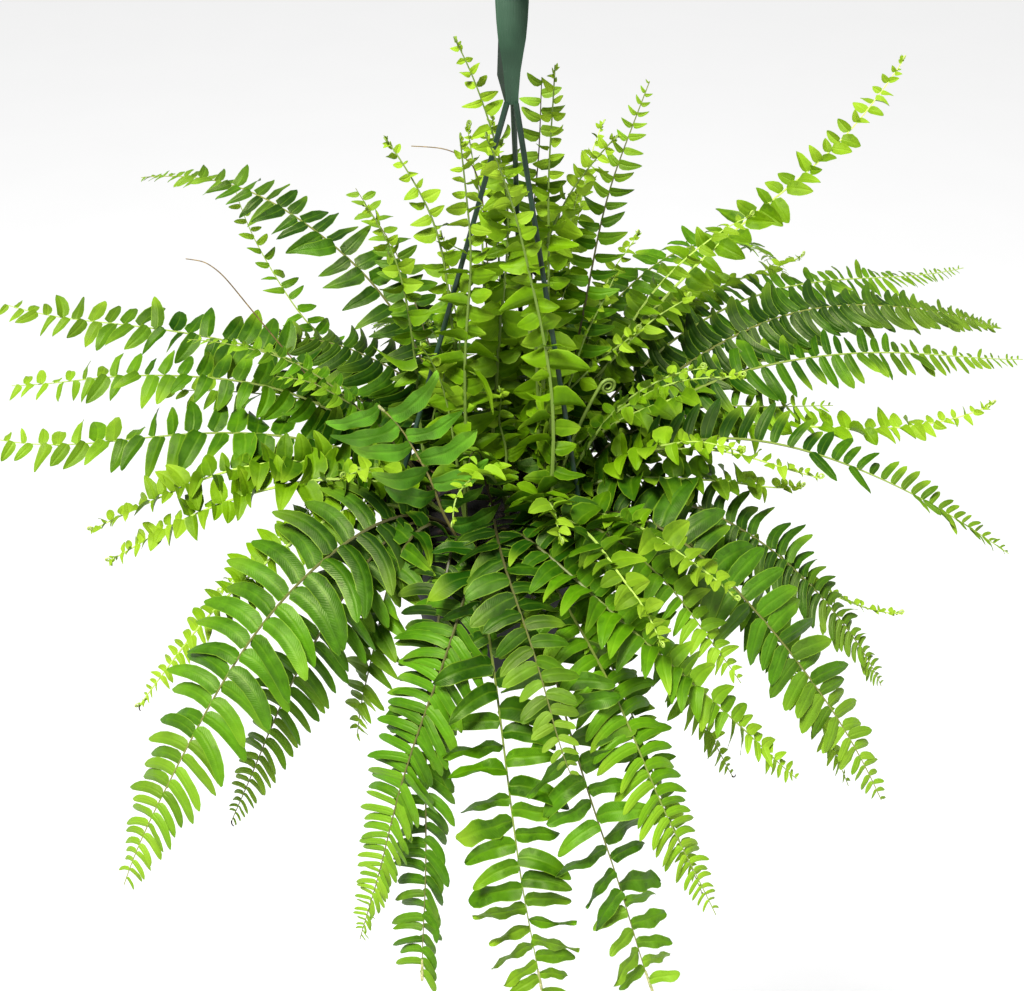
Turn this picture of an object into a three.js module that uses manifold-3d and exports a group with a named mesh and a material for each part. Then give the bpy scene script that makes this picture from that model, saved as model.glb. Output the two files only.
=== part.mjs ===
// A sword fern growing in a small plastic hanging pot.
//
// Millimetres, +Z up. The origin is the inside top of the hook, the point that a ceiling hook or
// a rail carries, so the whole plant hangs below it. Inside the group everything is measured from
// the centre of the pot's rim.
//
// Each frond is one solid: a slim rib that rises from its own hole in the soil and arches over,
// with its leaflets cut to the rib on both sides. A leaflet is a thin lens, thickest along its
// middle and sharp at its edge.

import * as THREE from "three";
import { mergeVertices } from "three/addons/utils/BufferGeometryUtils.js";
import Module from "manifold-3d";

const wasm = await Module();
wasm.setup();

// ---------- driving dimensions ----------

const GAP = 0.35; // clearance between touching pieces

// pot
const RIM_R = 83; // outer radius of the rolled rim
const WALL_TOP_R = 74; // outer radius of the wall under the rim
const WALL_FOOT_R = 56;
const POT_H = 115;
const WALL = 1.8;
const RIM_SKIRT = 9; // how far the rim turns down
const FOOT_STEP = 3; // height of the ring that the pot stands on
const POT_SIDES = 32;
const DRAIN_R = 5;
const DRAIN_RING_R = 36;
const DRAINS = 6;

// soil
const SOIL_DROP = 8; // soil surface below the rim
const SOIL_EDGE = 3; // how much lower it lies along the wall
const SOIL_FLAT_R = 60;
const ROOT_DEPTH = 8; // how deep a stem stands in its hole
const STEM_GAP = 0.42; // clearance of a slanting stem in its hole

// hanger
const STRANDS = [197, 317, 77]; // azimuth of each strand, in degrees
const STRAND_RING_R = 77; // radius of the holes in the rim
const STRAND_R = 1.6;
const NECK_Z = 277; // height of the gathered strands above the rim
const NECK_R = 3.4; // radius on which the strands leave the neck
const NECK_X = 8; // how far the plant, hanging a little askew, puts its neck off the pot's axis
const BARB_R = 2.3; // the barb that locks a strand under the rim
const BARB_H = 3;
const HOOK_STEM = 70; // straight part of the hook above the neck
const HOOK_R = 13; // inner radius of the hook's bend
const STRAP_T = 3; // thickness of the hook's strap
const STRAP_NECK_W = 7.5;
const STRAP_WIDE_W = 19;
const STRAP_END_W = 11;
const HOOK_END_DEG = 200; // how far the bend runs round
const BEND_STEPS = 12;
const WING_W = 10; // the folded web beside the strap
const WING_TURN_DEG = 62;

const HANG_Z = NECK_Z + HOOK_STEM + HOOK_R; // hang point above the rim

// fronds
const STEM_W = 2.8; // width and thickness of a stem at the soil
const STEM_TIP_W = 1.1;
const LEAF_T = 0.9; // thickness of a leaflet outside the rib
const SHOULDER_OUT = { mature: 0.66, mid: 0.56, young: 0.5 }; // how far out a leaflet's rear shoulder is
const SHOULDER_BACK = { mature: 0.34, mid: 0.42, young: 0.44 };
const LEAF_CLEAR = 0.45; // least distance between leaflets of two fronds
const LEAF_ROOM = { mature: 0.36, mid: 0.74, young: 0.92 }; // leaflet spacing, of the longest leaflet
const MIN_ROOM = 35; // and its bounds, in millimetres
const MAX_ROOM = 36;
const BARE_STEM = 34; // bare stem below the first leaflet, in millimetres
const SIDE_BARE_STEM = 26; // the same on a side frond
const STEM_RING = 20; // the stem is straight up to here, clear of its hole in the soil
const RISE_HANDLE = 0.46; // how far a stem keeps its first direction, of the straight way to the tip
const HANGING_RISE_HANDLE = 0.41; // the same for a frond that hangs far below the rim
const HANGING_RISE_LEAST = 110; // and at least this far, to clear the rim
const HANGING_BELOW = -90;
const FALL_HANDLE = 0.36; // how far the tip's direction reaches back
// Fronds whose tips are broken off, and the share of the blade that is left.
const BROKEN_OFF = { front_12: 0.5, front_2: 0.74, front_3: 0.82, front_4: 0.82 };

// Every frond, one row each. Its stem: azimuth about the pot's axis and distance from it at the
// soil, and angle above the horizontal there. Its tip: azimuth, reach from the axis, height above
// the rim and angle below the horizontal. Its blade: how far it is rolled, and the length of its
// longest leaflet.
const FRONDS = [
  //                             stem            tip                     blade
  // name            kind        az   r rise     az reach    z fall     roll leaf
  ["upright_1",      "young",   120,  13, 88,   141,  32,  308, -60,    -40, 16],
  ["upright_2",      "mature",   60,  30, 84,    70,  78,  268, -70,     20, 20],
  ["upright_3",      "young",     8,  27, 88,    42,  45,  288, -80,     45, 17],
  ["upright_4",      "mid",      30,  36, 78,    41, 126,  262, -52,     40, 22],
  ["upright_5",      "young",    60,  13, 84,    16,  74,  250, -50,     65, 19],
  ["upright_6",      "young",   -56,  58, 86,   -99,  40,  272, -66,      6, 20],
  ["upright_7",      "young",  -135,  33, 88,  -131,  33,  266, -80,     35, 20],
  ["upright_8",      "young",   148,  25, 80,   150,  80,  240, -48,    -60, 17],
  ["upright_9",      "young",   156,  52, 78,   159,  90,  200, -56,    -60, 18],
  ["back_left_1",    "mature",  127,  32, 66,   135, 414,  110,  18,    -14, 30],
  ["back_left_2",    "mid",     141,  28, 38,   129, 335,  112, -45,      0, 18],
  ["left_comb",      "mature",  121,  45, 74,   149, 229,   60,   4,      0, 34],
  ["left_1",         "mid",     149,  36, 46,   153, 436,   44,  -4,    -20, 25],
  ["left_2",         "mid",     163,  42, 50,   161, 392,   12,  14,    -20, 22],
  ["left_3",         "mid",     172,  34, 42,   169, 376,    0,  -2,    -20, 24],
  ["left_4",         "young",  -179,  44, 52,  -178, 283,  -22,  28,    -18, 20],
  ["left_5",         "young",  -170,  34, 48,  -176, 272,  -42,  34,    -18, 20],
  ["front_left_1",   "mature", -146,  36, 52,  -146, 305, -200,  64,    -24, 50],
  ["front_left_2",   "young",  -157,  42, 54,  -162, 262, -120,  54,    -22, 24],
  ["front_left_3",   "mature", -138,  42, 62,  -149, 221, -200,  66,    -22, 36],
  ["front_left_4",   "mid",    -130,  46, 66,  -138, 134, -142,  80,      0, 32],
  ["front_1",        "mature",  -94,  43, 56,  -115, 220, -220,  70,      0, 38],
  ["front_2",        "mature", -115,  43, 61,  -104, 216, -250,  64,      0, 32],
  ["front_3",        "mid",    -106,  46, 68,   -83, 226, -240,  72,      0, 38],
  ["front_4",        "mature",  -87,  43, 58,   -66, 247, -240,  62,      0, 40],
  ["front_5",        "mature", -100,  22, 64,   -78, 208,  -62,  52,      0, 34],
  ["front_6",        "mid",     -79,  43, 58,   -54, 242, -200,  60,      0, 30],
  ["front_7",        "mid",     -71,  46, 64,   -50, 214, -216,  64,      0, 26],
  ["front_8",        "mid",     -94,  28, 56,   -40, 249, -110,  50,      0, 28],
  ["front_9",        "mid",     -64,  42, 66,   -37, 198, -150,  62,      0, 26],
  ["front_10",       "young",   -60,  26, 66,   -58, 184,    0,  48,      0, 24],
  ["front_11",       "young",   -50,  32, 64,   -38, 187,    2,  40,      0, 22],
  ["front_12",       "mature", -122,  46, 58,  -139,  98,  112, -50,   -112, 44],
  ["front_13",       "young",   -68,  12, 84,  -104, 114,   58,  86,      0, 14],
  ["right_1",        "mature",  -28,  43, 54,   -25, 289, -170,  62,     30, 42],
  ["right_2",        "mid",     -20,  41, 52,   -16, 264, -208,  68,     22, 26],
  ["right_3",        "mature",  -12,  43, 54,    -6, 280, -150,  66,     28, 36],
  ["right_4",        "young",    -4,  39, 54,     1, 294, -110,   8,      0, 14],
  ["right_5",        "mid",       4,  43, 52,     2, 366,  -60,  36,     20, 26],
  ["right_6",        "young",    13,  34, 42,    18, 392,    0, -14,     16, 22],
  ["right_7",        "mid",      21,  42, 47,    21, 429,   20,  12,     20, 30],
  ["right_8",        "mature",   30,  48, 50,    30, 474,    2,  26,     18, 36],
  ["right_9",        "mid",      39,  42, 52,    38, 500,   22,   8,     18, 24],
  ["right_10",       "young",   -20,  28, 62,     2, 209,    2,  12,      0, 22],
  ["right_11",       "young",    16,  20, 60,    27, 222,   54, -10,      0, 24],
  ["back_right_1",   "young",    42,  26, 56,    43, 424,  208, -40,     20, 22],
  ["back_right_2",   "mid",      60,  46, 76,    53, 414,    0,  52,      0, 28],
  ["back_right_3",   "young",    48,  46, 52,    46, 350,   60,   4,      0, 22],
  ["back_right_4",   "mature",   68,  36, 62,    43, 200,   80,  10,      0, 34],
  ["back_1",         "mature",   85,  44, 58,    72, 262,    6,  44,      0, 38],
  ["back_2",         "mature",   99,  43, 54,    94, 256,  -70,  62,      0, 40],
  ["back_3",         "mid",     111,  44, 56,   112, 270,   -4,  40,      0, 36],
  ["back_4",         "mature",  134,  43, 60,   134, 230, -150,  72,      0, 38],
  ["back_5",         "mature",   54,  40, 60,    60, 232, -165,  72,      0, 38],
];

// Shorter fronds that share the foot of another: the frond and how high up its stem they leave it,
// the azimuth and angle they leave it at, and their tip and blade as above.
const SIDE_FRONDS = [
  // foot                      stem       tip                     blade
  // frond           from      az rise    az reach    z fall     roll leaf
  ["right_10",         14,    -10, 66,    -7, 131,  110, -10,       0, 17],
  ["right_11",         14,      2, 60,    -1, 158,   96,   0,       0, 17],
  ["right_4",          16,    -12, 60,   -12, 160,   58,  14,       0, 20],
  ["back_right_3",     16,     56, 60,    55, 172,  130, -20,       0, 16],
  ["back_right_1",     16,     34, 52,    36, 218,  150,   0,       0, 18],
  ["back_left_1",      16,    120, 60,   121, 206,  150, -20,       0, 20],
  ["left_2",           16,    168, 60,   164, 224,   88,  10,       0, 19],
  ["left_5",           16,   -168, 58,  -171, 196,  -60,  44,       0, 18],
  ["left_3",           16,    176, 60,   173, 150,   84,   0,       0, 21],
  ["left_4",           16,   -150, 70,  -153, 112,   50,  10,       0, 20],
  ["front_10",         14,    -68, 74,   -70, 112,   40,  50,       0, 20],
  ["front_11",         14,    -46, 70,   -46,  98,   12,  62,       0, 20],
  ["front_5",          14,   -112, 78,  -108,  62,   66,  30,       0, 24],
  ["upright_9",        16,    158, 84,   160,  50,  124, -50,       0, 18],
  ["upright_5",        14,     20, 78,    21, 100,  110, -34,       0, 18],
  ["back_right_1",     24,     26, 64,    31, 152,  112, -10,       0, 18],
  ["right_6",          18,     -4, 52,    -3, 216,   22,  18,       0, 16],
  ["upright_1",        14,    100, 84,   105,  80,  236, -60,      30, 16],
  ["upright_5",        14,     92, 82,    93,  86,  238, -60,     -20, 15],
  ["upright_5",        16,     46, 76,    58,  98,  188, -50,      40, 16],
  ["back_right_3",     16,     66, 78,    63, 154,  214, -45,      30, 17],
  ["upright_8",        14,    120, 78,   117,  86,  160, -50,     -30, 15],
  ["upright_5",        20,     42, 74,    44,  62,  140, -60,      50, 15],
  ["upright_3",        18,     20, 80,    26,  84,  150, -60,     -30, 16],
  ["upright_3",        14,    -20, 84,   -12,  34,  118, -70,      20, 15],
  ["upright_7",        14,   -150, 80,  -154,  54,  130, -60,      50, 20],
  ["front_13",         14,    -90, 84,   -89,  18,   94, -60,      10, 14],
  ["right_10",         20,    -28, 78,   -26,  46,   92, -50,      30, 15],
  ["front_9",          20,    -40, 62,   -37, 196,  -66,  50,      14, 26],
  ["left_2",           18,    158, 56,   157, 262,   24,   8,     -20, 24],
  ["right_7",          18,     14, 56,    17, 250,   28,   8,      18, 26],
];

// Young coiled fronds, each grown to the foot of a frond: how high up that stem it leaves it, the
// azimuth it leans to, how far out and how high it reaches.
const CROZIERS = [
  // frond         from   lean  out  high
  ["right_10",      16,     20,  34,  92],
  ["upright_3",     14,   -110,  14, 140],
];
const CROZIER_W = 2.4;
const COIL_R = 5.6;
const COIL_END_R = 3.1;
const COIL_STEPS = 8;

// ---------- small helpers ----------

const rad = THREE.MathUtils.degToRad;
const V = (x, y, z) => new THREE.Vector3(x, y, z);
const polar = (deg, r, z) => V(Math.cos(rad(deg)) * r, Math.sin(rad(deg)) * r, z);

// A closed three.js geometry as a manifold-3d solid.
function solid(geometry) {
  const bare = geometry.clone();
  bare.deleteAttribute("normal");
  bare.deleteAttribute("uv");
  const merged = mergeVertices(bare, 1e-3);
  return new wasm.Manifold(
    new wasm.Mesh({
      numProp: 3,
      vertProperties: new Float32Array(merged.attributes.position.array),
      triVerts: new Uint32Array(merged.index.array),
    }),
  );
}

// A manifold-3d solid as a three.js geometry.
function geometryOf(made) {
  const mesh = made.getMesh();
  return new THREE.BufferGeometry()
    .setAttribute("position", new THREE.BufferAttribute(new Float32Array(mesh.vertProperties), 3))
    .setIndex(new THREE.BufferAttribute(new Uint32Array(mesh.triVerts), 1));
}

// A solid of revolution about +Z from [radius, height] pairs.
function turned(profile, sides) {
  return new THREE.LatheGeometry(
    profile.map(([r, z]) => new THREE.Vector2(r, z)),
    sides,
  ).rotateX(Math.PI / 2);
}

// A cylinder from one point to another.
function rod(from, to, radius, sides, tipRadius = radius) {
  const along = to.clone().sub(from);
  return new THREE.CylinderGeometry(tipRadius, radius, along.length(), sides)
    .applyQuaternion(new THREE.Quaternion().setFromUnitVectors(V(0, 1, 0), along.clone().normalize()))
    .translate(...from.clone().add(to).multiplyScalar(0.5).toArray());
}

function meshOf(points, faces) {
  return new THREE.BufferGeometry()
    .setAttribute("position", new THREE.Float32BufferAttribute(points.flatMap((p) => p.toArray()), 3))
    .setIndex(faces.flat());
}

// The four corners of a band's cross-section: right top, left top, left low, right low.
function section({ at, left, up }) {
  return [[-1, 1], [1, 1], [1, -1], [-1, -1]].map(([l, u]) =>
    at.clone().addScaledVector(left, l).addScaledVector(up, u),
  );
}

// A closed band through cross-sections, each with a middle and its half width and half thickness
// as vectors.
function band(sections) {
  const faces = [[0, 1, 2], [0, 2, 3]];
  for (let i = 0; i + 1 < sections.length; i++) {
    for (let k = 0; k < 4; k++) {
      const a = 4 * i + k;
      const b = 4 * i + ((k + 1) % 4);
      faces.push([a, a + 4, b], [b, a + 4, b + 4]);
    }
  }
  const last = 4 * (sections.length - 1);
  faces.push([last, last + 2, last + 1], [last, last + 3, last + 2]);
  return meshOf(sections.flatMap(section), faces);
}

// ---------- hanger ----------

const neckPoint = (azimuth) => polar(azimuth, NECK_R, NECK_Z).add(V(NECK_X, 0, 0));
const rimPoint = (azimuth) => polar(azimuth, STRAND_RING_R, 0);

// A point on a strand's line, at a height above the rim.
function onStrand(azimuth, z) {
  const top = neckPoint(azimuth);
  return top.lerp(rimPoint(azimuth), (NECK_Z - z) / NECK_Z);
}

// One strand: a round cord of plastic, with the barb that holds it under the rim.
function strand(azimuth) {
  const barbTop = -WALL - GAP - 0.7;
  const on = (z) => onStrand(azimuth, z);
  const cord = rod(on(barbTop - 1), on(NECK_Z - 2 * GAP), STRAND_R, 8);
  const barb = rod(on(barbTop - BARB_H), on(barbTop), BARB_R * 0.6, 8, BARB_R);
  return geometryOf(solid(cord).add(solid(barb)));
}

// The hook's strap: narrow at the neck, wide in the stem and the bend, and narrower again at its free end.
function strap() {
  const bendR = HOOK_R + STRAP_T / 2;
  const stemTop = NECK_Z + HOOK_STEM;
  const across = (y, z, turn, width) => ({
    at: V(NECK_X, y, z),
    left: V(width / 2, 0, 0),
    up: V(0, Math.cos(rad(turn)), Math.sin(rad(turn))).multiplyScalar(STRAP_T / 2),
  });
  const stem = [
    across(0, NECK_Z, 0, STRAP_NECK_W),
    across(0, NECK_Z + HOOK_STEM * 0.28, 0, STRAP_NECK_W * 1.3),
    across(bendR * 0.14, NECK_Z + HOOK_STEM * 0.54, -10, STRAP_WIDE_W * 0.84),
    across(bendR * 0.6, NECK_Z + HOOK_STEM * 0.8, -20, STRAP_WIDE_W),
  ];
  const bend = Array.from({ length: BEND_STEPS + 1 }, (_, i) => {
    const turn = (HOOK_END_DEG * i) / BEND_STEPS;
    const width = THREE.MathUtils.lerp(STRAP_WIDE_W, STRAP_END_W, i / BEND_STEPS);
    return across(bendR * Math.cos(rad(turn)), stemTop + bendR * Math.sin(rad(turn)), turn, width);
  });
  return band([...stem, ...bend]);
}

// The web folded back beside the strap, with its slanted lower edge.
function wing() {
  const outline = new THREE.Shape([
    new THREE.Vector2(0, 0),
    new THREE.Vector2(-WING_W, HOOK_STEM * 0.2),
    new THREE.Vector2(-WING_W, HOOK_STEM * 0.6),
    new THREE.Vector2(0, HOOK_STEM * 0.86),
  ]);
  return new THREE.ExtrudeGeometry(outline, { depth: 1.4, bevelEnabled: false })
    .rotateX(Math.PI / 2)
    .rotateZ(-rad(WING_TURN_DEG))
    .translate(NECK_X - STRAP_NECK_W / 2 + 1, STRAP_T / 2, NECK_Z);
}

// ---------- pot and soil ----------

function pot() {
  const floorR = WALL_FOOT_R - WALL;
  const body = solid(
    turned(
      [
        [0, FOOT_STEP - POT_H],
        [WALL_FOOT_R - 6, FOOT_STEP - POT_H],
        [WALL_FOOT_R - 5, -POT_H],
        [WALL_FOOT_R, -POT_H],
        [WALL_TOP_R, -WALL],
        [RIM_R - WALL, -WALL],
        [RIM_R - WALL, -RIM_SKIRT],
        [RIM_R - 0.3, -RIM_SKIRT],
        [RIM_R, -1.4],
        [RIM_R - 1.2, 0],
        [WALL_TOP_R - WALL, 0],
        [floorR, FOOT_STEP + WALL - POT_H],
        [0, FOOT_STEP + WALL - POT_H],
      ],
      POT_SIDES,
    ),
  );
  const cuts = STRANDS.map((azimuth) =>
    solid(rod(onStrand(azimuth, -8), onStrand(azimuth, 6), STRAND_R + GAP, 8)),
  );
  for (let i = 0; i < DRAINS; i++) {
    const foot = polar((360 / DRAINS) * i, DRAIN_RING_R, -POT_H - 1);
    cuts.push(solid(rod(foot, foot.clone().setZ(-POT_H + 12), DRAIN_R, 6)));
  }
  return geometryOf(cuts.reduce((made, cut) => made.subtract(cut), body).asOriginal().simplify(0.01));
}

const POT_FLOOR = FOOT_STEP + WALL - POT_H;
const wallSlope = (WALL_TOP_R - WALL_FOOT_R) / -POT_FLOOR;
const soilR = (z) => WALL_TOP_R - WALL - GAP + wallSlope * z;

function soil(stems) {
  const floor = POT_FLOOR + GAP;
  const body = turned(
    [
      [0, floor],
      [soilR(floor), floor],
      [soilR(-SOIL_DROP - SOIL_EDGE), -SOIL_DROP - SOIL_EDGE],
      [SOIL_FLAT_R, -SOIL_DROP],
      [0, -SOIL_DROP],
    ],
    POT_SIDES,
  );
  const holed = stems.reduce((made, stem) => made.subtract(stem), solid(body));
  return geometryOf(holed.asOriginal().simplify(0.01));
}

// ---------- fronds ----------

// The rib's path: from its root up, over, and down or up to the tip.
function ribCurve({ start, stemAz, rise, tipAz, reach, tipZ, fall }) {
  const tip = polar(tipAz, reach, tipZ);
  const chord = start.distanceTo(tip);
  const lift = polar(stemAz, Math.cos(rad(rise)), Math.sin(rad(rise)));
  const turn = THREE.MathUtils.euclideanModulo(tipAz - stemAz + 180, 360) - 180;
  const drop = polar(tipAz + turn, Math.cos(rad(fall)), -Math.sin(rad(fall)));
  const riseReach =
    tipZ < HANGING_BELOW
      ? Math.max(chord * HANGING_RISE_HANDLE, HANGING_RISE_LEAST)
      : chord * RISE_HANDLE;
  const curve = new THREE.CubicBezierCurve3(
    start,
    start.clone().addScaledVector(lift, riseReach),
    tip.clone().addScaledVector(drop, -chord * FALL_HANDLE),
    tip,
  );
  curve.arcLengthDivisions = 120;
  return curve;
}

// Place, forward, left and up of the blade at a share of its length.
function ribFrame(frond, share) {
  const at = frond.curve.getPointAt(share);
  const forward = frond.curve.getTangentAt(share);
  const left = polar(frond.tipAz + 90, 1, 0);
  left.addScaledVector(forward, -left.dot(forward)).normalize();
  left.applyAxisAngle(forward, rad(frond.roll));
  return { at, forward, left, up: forward.clone().cross(left) };
}

// Leaflet length along the blade, as a share of the longest.
function leafShare(t) {
  return (0.66 + 0.34 * Math.min(1, t / 0.2)) * (1 - 0.84 * t ** 2.8);
}

// Shares of the length where the rib has a ring: bare stem first, then one ring at each leaflet's root.
function ringShares(frond) {
  const bare = (frond.isSide ? SIDE_BARE_STEM : BARE_STEM) / frond.length;
  const room = THREE.MathUtils.clamp(frond.leaf * LEAF_ROOM[frond.kind], MIN_ROOM, MAX_ROOM);
  const pairs = Math.max(4, Math.round((frond.length * (1 - bare)) / room));
  const shares = [0, STEM_RING / frond.length];
  for (let i = 0; i <= pairs; i++) {
    const t = i / pairs;
    shares.push(bare + (1 - bare) * 0.985 * (t * 1.16 - t * t * 0.16));
  }
  return { shares, firstLeaf: 2, pairs, bare };
}

// The rib's cross-section at a share of its length, widened by grow.
function ribSection(frond, share, grow = 0) {
  const { at, left, up } = ribFrame(frond, share);
  const half = THREE.MathUtils.lerp(STEM_W, STEM_TIP_W, share ** 0.8) / 2;
  return { at, left: left.multiplyScalar(half + grow), up: up.multiplyScalar(half * 0.9 + grow) };
}

const ribBand = (frond, shares, grow) => band(shares.map((share) => ribSection(frond, share, grow)));

// The hole that a stem stands in.
function stemHole(frond) {
  const [foot, top] = frond.rings.shares.slice(0, 2).map((share) => ribSection(frond, share, STEM_GAP));
  foot.at.addScaledVector(frond.curve.getTangentAt(0), -STEM_GAP);
  return solid(band([foot, top]));
}

// The free corners of one leaflet: its rear shoulder and its tip. It leans forward and hangs a
// little at its tip.
function leafPoints(frond, from, to, side, { lift, scale }) {
  const mid = (from + to) / 2;
  const { at, forward, left, up } = ribFrame(frond, mid);
  const width = (to - from) * frond.length;
  const t = (mid - frond.rings.bare) / (1 - frond.rings.bare);
  const long = Math.max(frond.leaf * leafShare(t * (BROKEN_OFF[frond.name] ?? 1)) * scale, 3.2);
  const angle = rad(lift + (frond.kind === "young" ? 8 : -6));
  const out = left.clone().multiplyScalar(side);
  const place = (along, away, sag, thick) =>
    at
      .clone()
      .addScaledVector(forward, along)
      .addScaledVector(out, away * long * Math.cos(angle))
      .addScaledVector(up, away * long * Math.sin(angle) - sag * long + thick);
  const back = Math.min(width * SHOULDER_BACK[frond.kind], long * 0.4);
  const shoulder = SHOULDER_OUT[frond.kind];
  return [
    place(long * 0.08 - back, shoulder, 0.01, LEAF_T / 2),
    place(long * 0.08 - back, shoulder, 0.01, -LEAF_T / 2),
    place(long * 0.2, 1, 0.1, 0),
  ];
}

// Leaflet faces, from the rib's rings that start at a and b and the free corners that start at n.
function leafFaces(a, b, n, side) {
  const [topA, topB, lowA, lowB] = side > 0 ? [a + 1, b + 1, a + 2, b + 2] : [a, b, a + 3, b + 3];
  const [rearTop, rearLow, tip] = [n, n + 1, n + 2];
  const faces = [
    [topA, topB, rearTop], [rearTop, topB, tip], [lowA, rearLow, lowB], [rearLow, tip, lowB],
    [topA, rearTop, lowA], [rearTop, rearLow, lowA], [rearTop, tip, rearLow], [topB, lowB, tip],
  ];
  return side > 0 ? faces : faces.map(([p, q, r]) => [p, r, q]);
}

// A closed copy of one leaflet alone, for the clearance test.
function leafSolid(ringA, ringB, leaf, side) {
  const points = [...ringA, ...ringB, ...leaf];
  const faces = leafFaces(0, 4, 8, side);
  const [topA, topB, lowA, lowB] = side > 0 ? [1, 5, 2, 6] : [0, 4, 3, 7];
  const root = [[topA, lowB, topB], [topA, lowA, lowB]];
  faces.push(...(side > 0 ? root : root.map(([p, q, r]) => [p, r, q])));
  const used = [...new Set(faces.flat())];
  return solid(meshOf(used.map((i) => points[i]), faces.map((f) => f.map((i) => used.indexOf(i)))));
}

const tryLeaves = [
  [0, 1], [16, 1], [-16, 1], [32, 0.95], [-32, 0.95], [50, 0.85], [-50, 0.85],
  [0, 0.6], [30, 0.6], [-30, 0.6], [0, 0.35],
].map(([lift, scale]) => ({ lift, scale }));

const boxOf = (made) => {
  const { min, max } = made.boundingBox();
  return new THREE.Box3(V(...min), V(...max)).expandByScalar(LEAF_CLEAR);
};
const obstacle = (owner, made) => ({ owner, made, box: boxOf(made) });
const isClear = (made, owner, obstacles) => {
  const box = boxOf(made);
  return !obstacles.some(
    (o) => o.owner !== owner && o.box.intersectsBox(box) && o.made.minGap(made, LEAF_CLEAR) < LEAF_CLEAR,
  );
};

// One frond with every leaflet that finds room: each is bent or shortened until it is clear of
// the other fronds.
function frondGeometry(frond, obstacles) {
  const { shares, firstLeaf, pairs } = frond.rings;
  const rings = shares.map((share) => section(ribSection(frond, share)));
  const points = rings.flat();
  const faces = [[0, 1, 2], [0, 2, 3]];
  const end = points.push(frond.curve.getPointAt(1)) - 1;
  for (let i = 0; i + 1 < rings.length; i++) {
    const a = 4 * i;
    const b = a + 4;
    faces.push([a, b, a + 1], [a + 1, b, b + 1], [a + 2, b + 2, a + 3], [a + 3, b + 2, b + 3]);
    for (const side of [1, -1]) {
      let leaf = null;
      if (i >= firstLeaf && i < firstLeaf + pairs) {
        for (const bend of tryLeaves) {
          const corners = leafPoints(frond, shares[i], shares[i + 1], side, bend);
          const made = leafSolid(rings[i], rings[i + 1], corners, side);
          if (isClear(made, frond.owner, obstacles)) {
            leaf = corners;
            obstacles.push(obstacle(frond.owner, made));
            break;
          }
        }
      }
      if (leaf) {
        const n = points.push(...leaf) - leaf.length;
        faces.push(...leafFaces(a, b, n, side));
      } else if (side > 0) {
        faces.push([a + 1, b + 1, a + 2], [a + 2, b + 1, b + 2]);
      } else {
        faces.push([a + 3, b + 3, a], [a, b + 3, b]);
      }
    }
  }
  const last = 4 * (rings.length - 1);
  for (let k = 0; k < 4; k++) faces.push([last + k, end, last + ((k + 1) % 4)]);
  return meshOf(points, faces);
}

// A coiled young frond: a slim stem in one upright plane, rolled up at its top.
function crozier(frond, [, from, lean, out, high]) {
  const foot = frond.curve.getPointAt(from / frond.length);
  const outward = polar(lean, 1, 0);
  const plane = (o, z) => foot.clone().addScaledVector(outward, o).setZ(foot.z + z);
  const side = polar(lean + 90, 1, 0);
  const stem = new THREE.QuadraticBezierCurve3(foot, plane(out * 0.35, high * 0.6), plane(out, high));
  const middles = [0, 0.2, 0.5, 0.8].map((t) => stem.getPoint(t));
  const heading = stem.getTangent(1);
  const start = Math.atan2(heading.z, heading.dot(outward));
  for (let i = 0; i <= COIL_STEPS; i++) {
    const turn = -((Math.PI * 1.7) / COIL_STEPS) * i;
    const r = THREE.MathUtils.lerp(COIL_R, COIL_END_R, i / COIL_STEPS);
    const a = start + Math.PI / 2 + turn;
    const centreO = out + COIL_R * Math.sin(start);
    const centreZ = high - COIL_R * Math.cos(start);
    middles.push(plane(centreO + r * Math.cos(a), centreZ + r * Math.sin(a)));
  }
  return band(
    middles.map((at, i) => {
      const forward = (middles[i + 1] ?? at).clone().sub(middles[i - 1] ?? at).normalize();
      const half = (CROZIER_W / 2) * (1 - (0.25 * i) / middles.length);
      return { at, left: side.clone().multiplyScalar(half), up: forward.cross(side).multiplyScalar(half) };
    }),
  );
}

// ---------- the whole plant ----------

const material = (color, roughness) =>
  new THREE.MeshStandardMaterial({ color, roughness, metalness: 0 });
const potPlastic = material(0x26402f, 0.5);
const hangerPlastic = material(0x3f6149, 0.42);
const pottingSoil = material(0x2f2419, 0.95);
const leafGreen = {
  mature: material(0x2f6b1f, 0.5),
  mid: material(0x4f9420, 0.5),
  young: material(0x86bd2a, 0.5),
};

const plant = new THREE.Group();
const add = (name, geometry, finish) => {
  const mesh = new THREE.Mesh(geometry, finish);
  mesh.name = name;
  plant.add(mesh);
  return mesh;
};

// A frond with its path worked out; owner tells its leaflets from those of the others.
function grown(frond) {
  frond.curve = ribCurve(frond);
  frond.length = frond.curve.getLength();
  frond.rings = ringShares(frond);
  return frond;
}

const fronds = FRONDS.map((row) => {
  const [name, kind, stemAz, stemR, rise, tipAz, reach, tipZ, fall, roll, leaf] = row;
  const start = polar(stemAz, stemR, -SOIL_DROP - ROOT_DEPTH);
  return grown({ name, owner: name, kind, start, stemAz, rise, tipAz, reach, tipZ, fall, roll, leaf });
});

const sideFronds = SIDE_FRONDS.map((row, i) => {
  const [name, from, stemAz, rise, tipAz, reach, tipZ, fall, roll, leaf] = row;
  const host = fronds.find((frond) => frond.name === name);
  const shape = { stemAz, rise, tipAz, reach, tipZ, fall, roll, leaf };
  const start = host.curve.getPointAt(from / host.length);
  return grown({ name, owner: `${name} side ${i}`, kind: host.kind, isSide: true, start, ...shape });
});

const croziers = CROZIERS.map((row) => {
  const host = fronds.find((frond) => frond.name === row[0]);
  return { host, made: solid(crozier(host, row)) };
});

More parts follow.
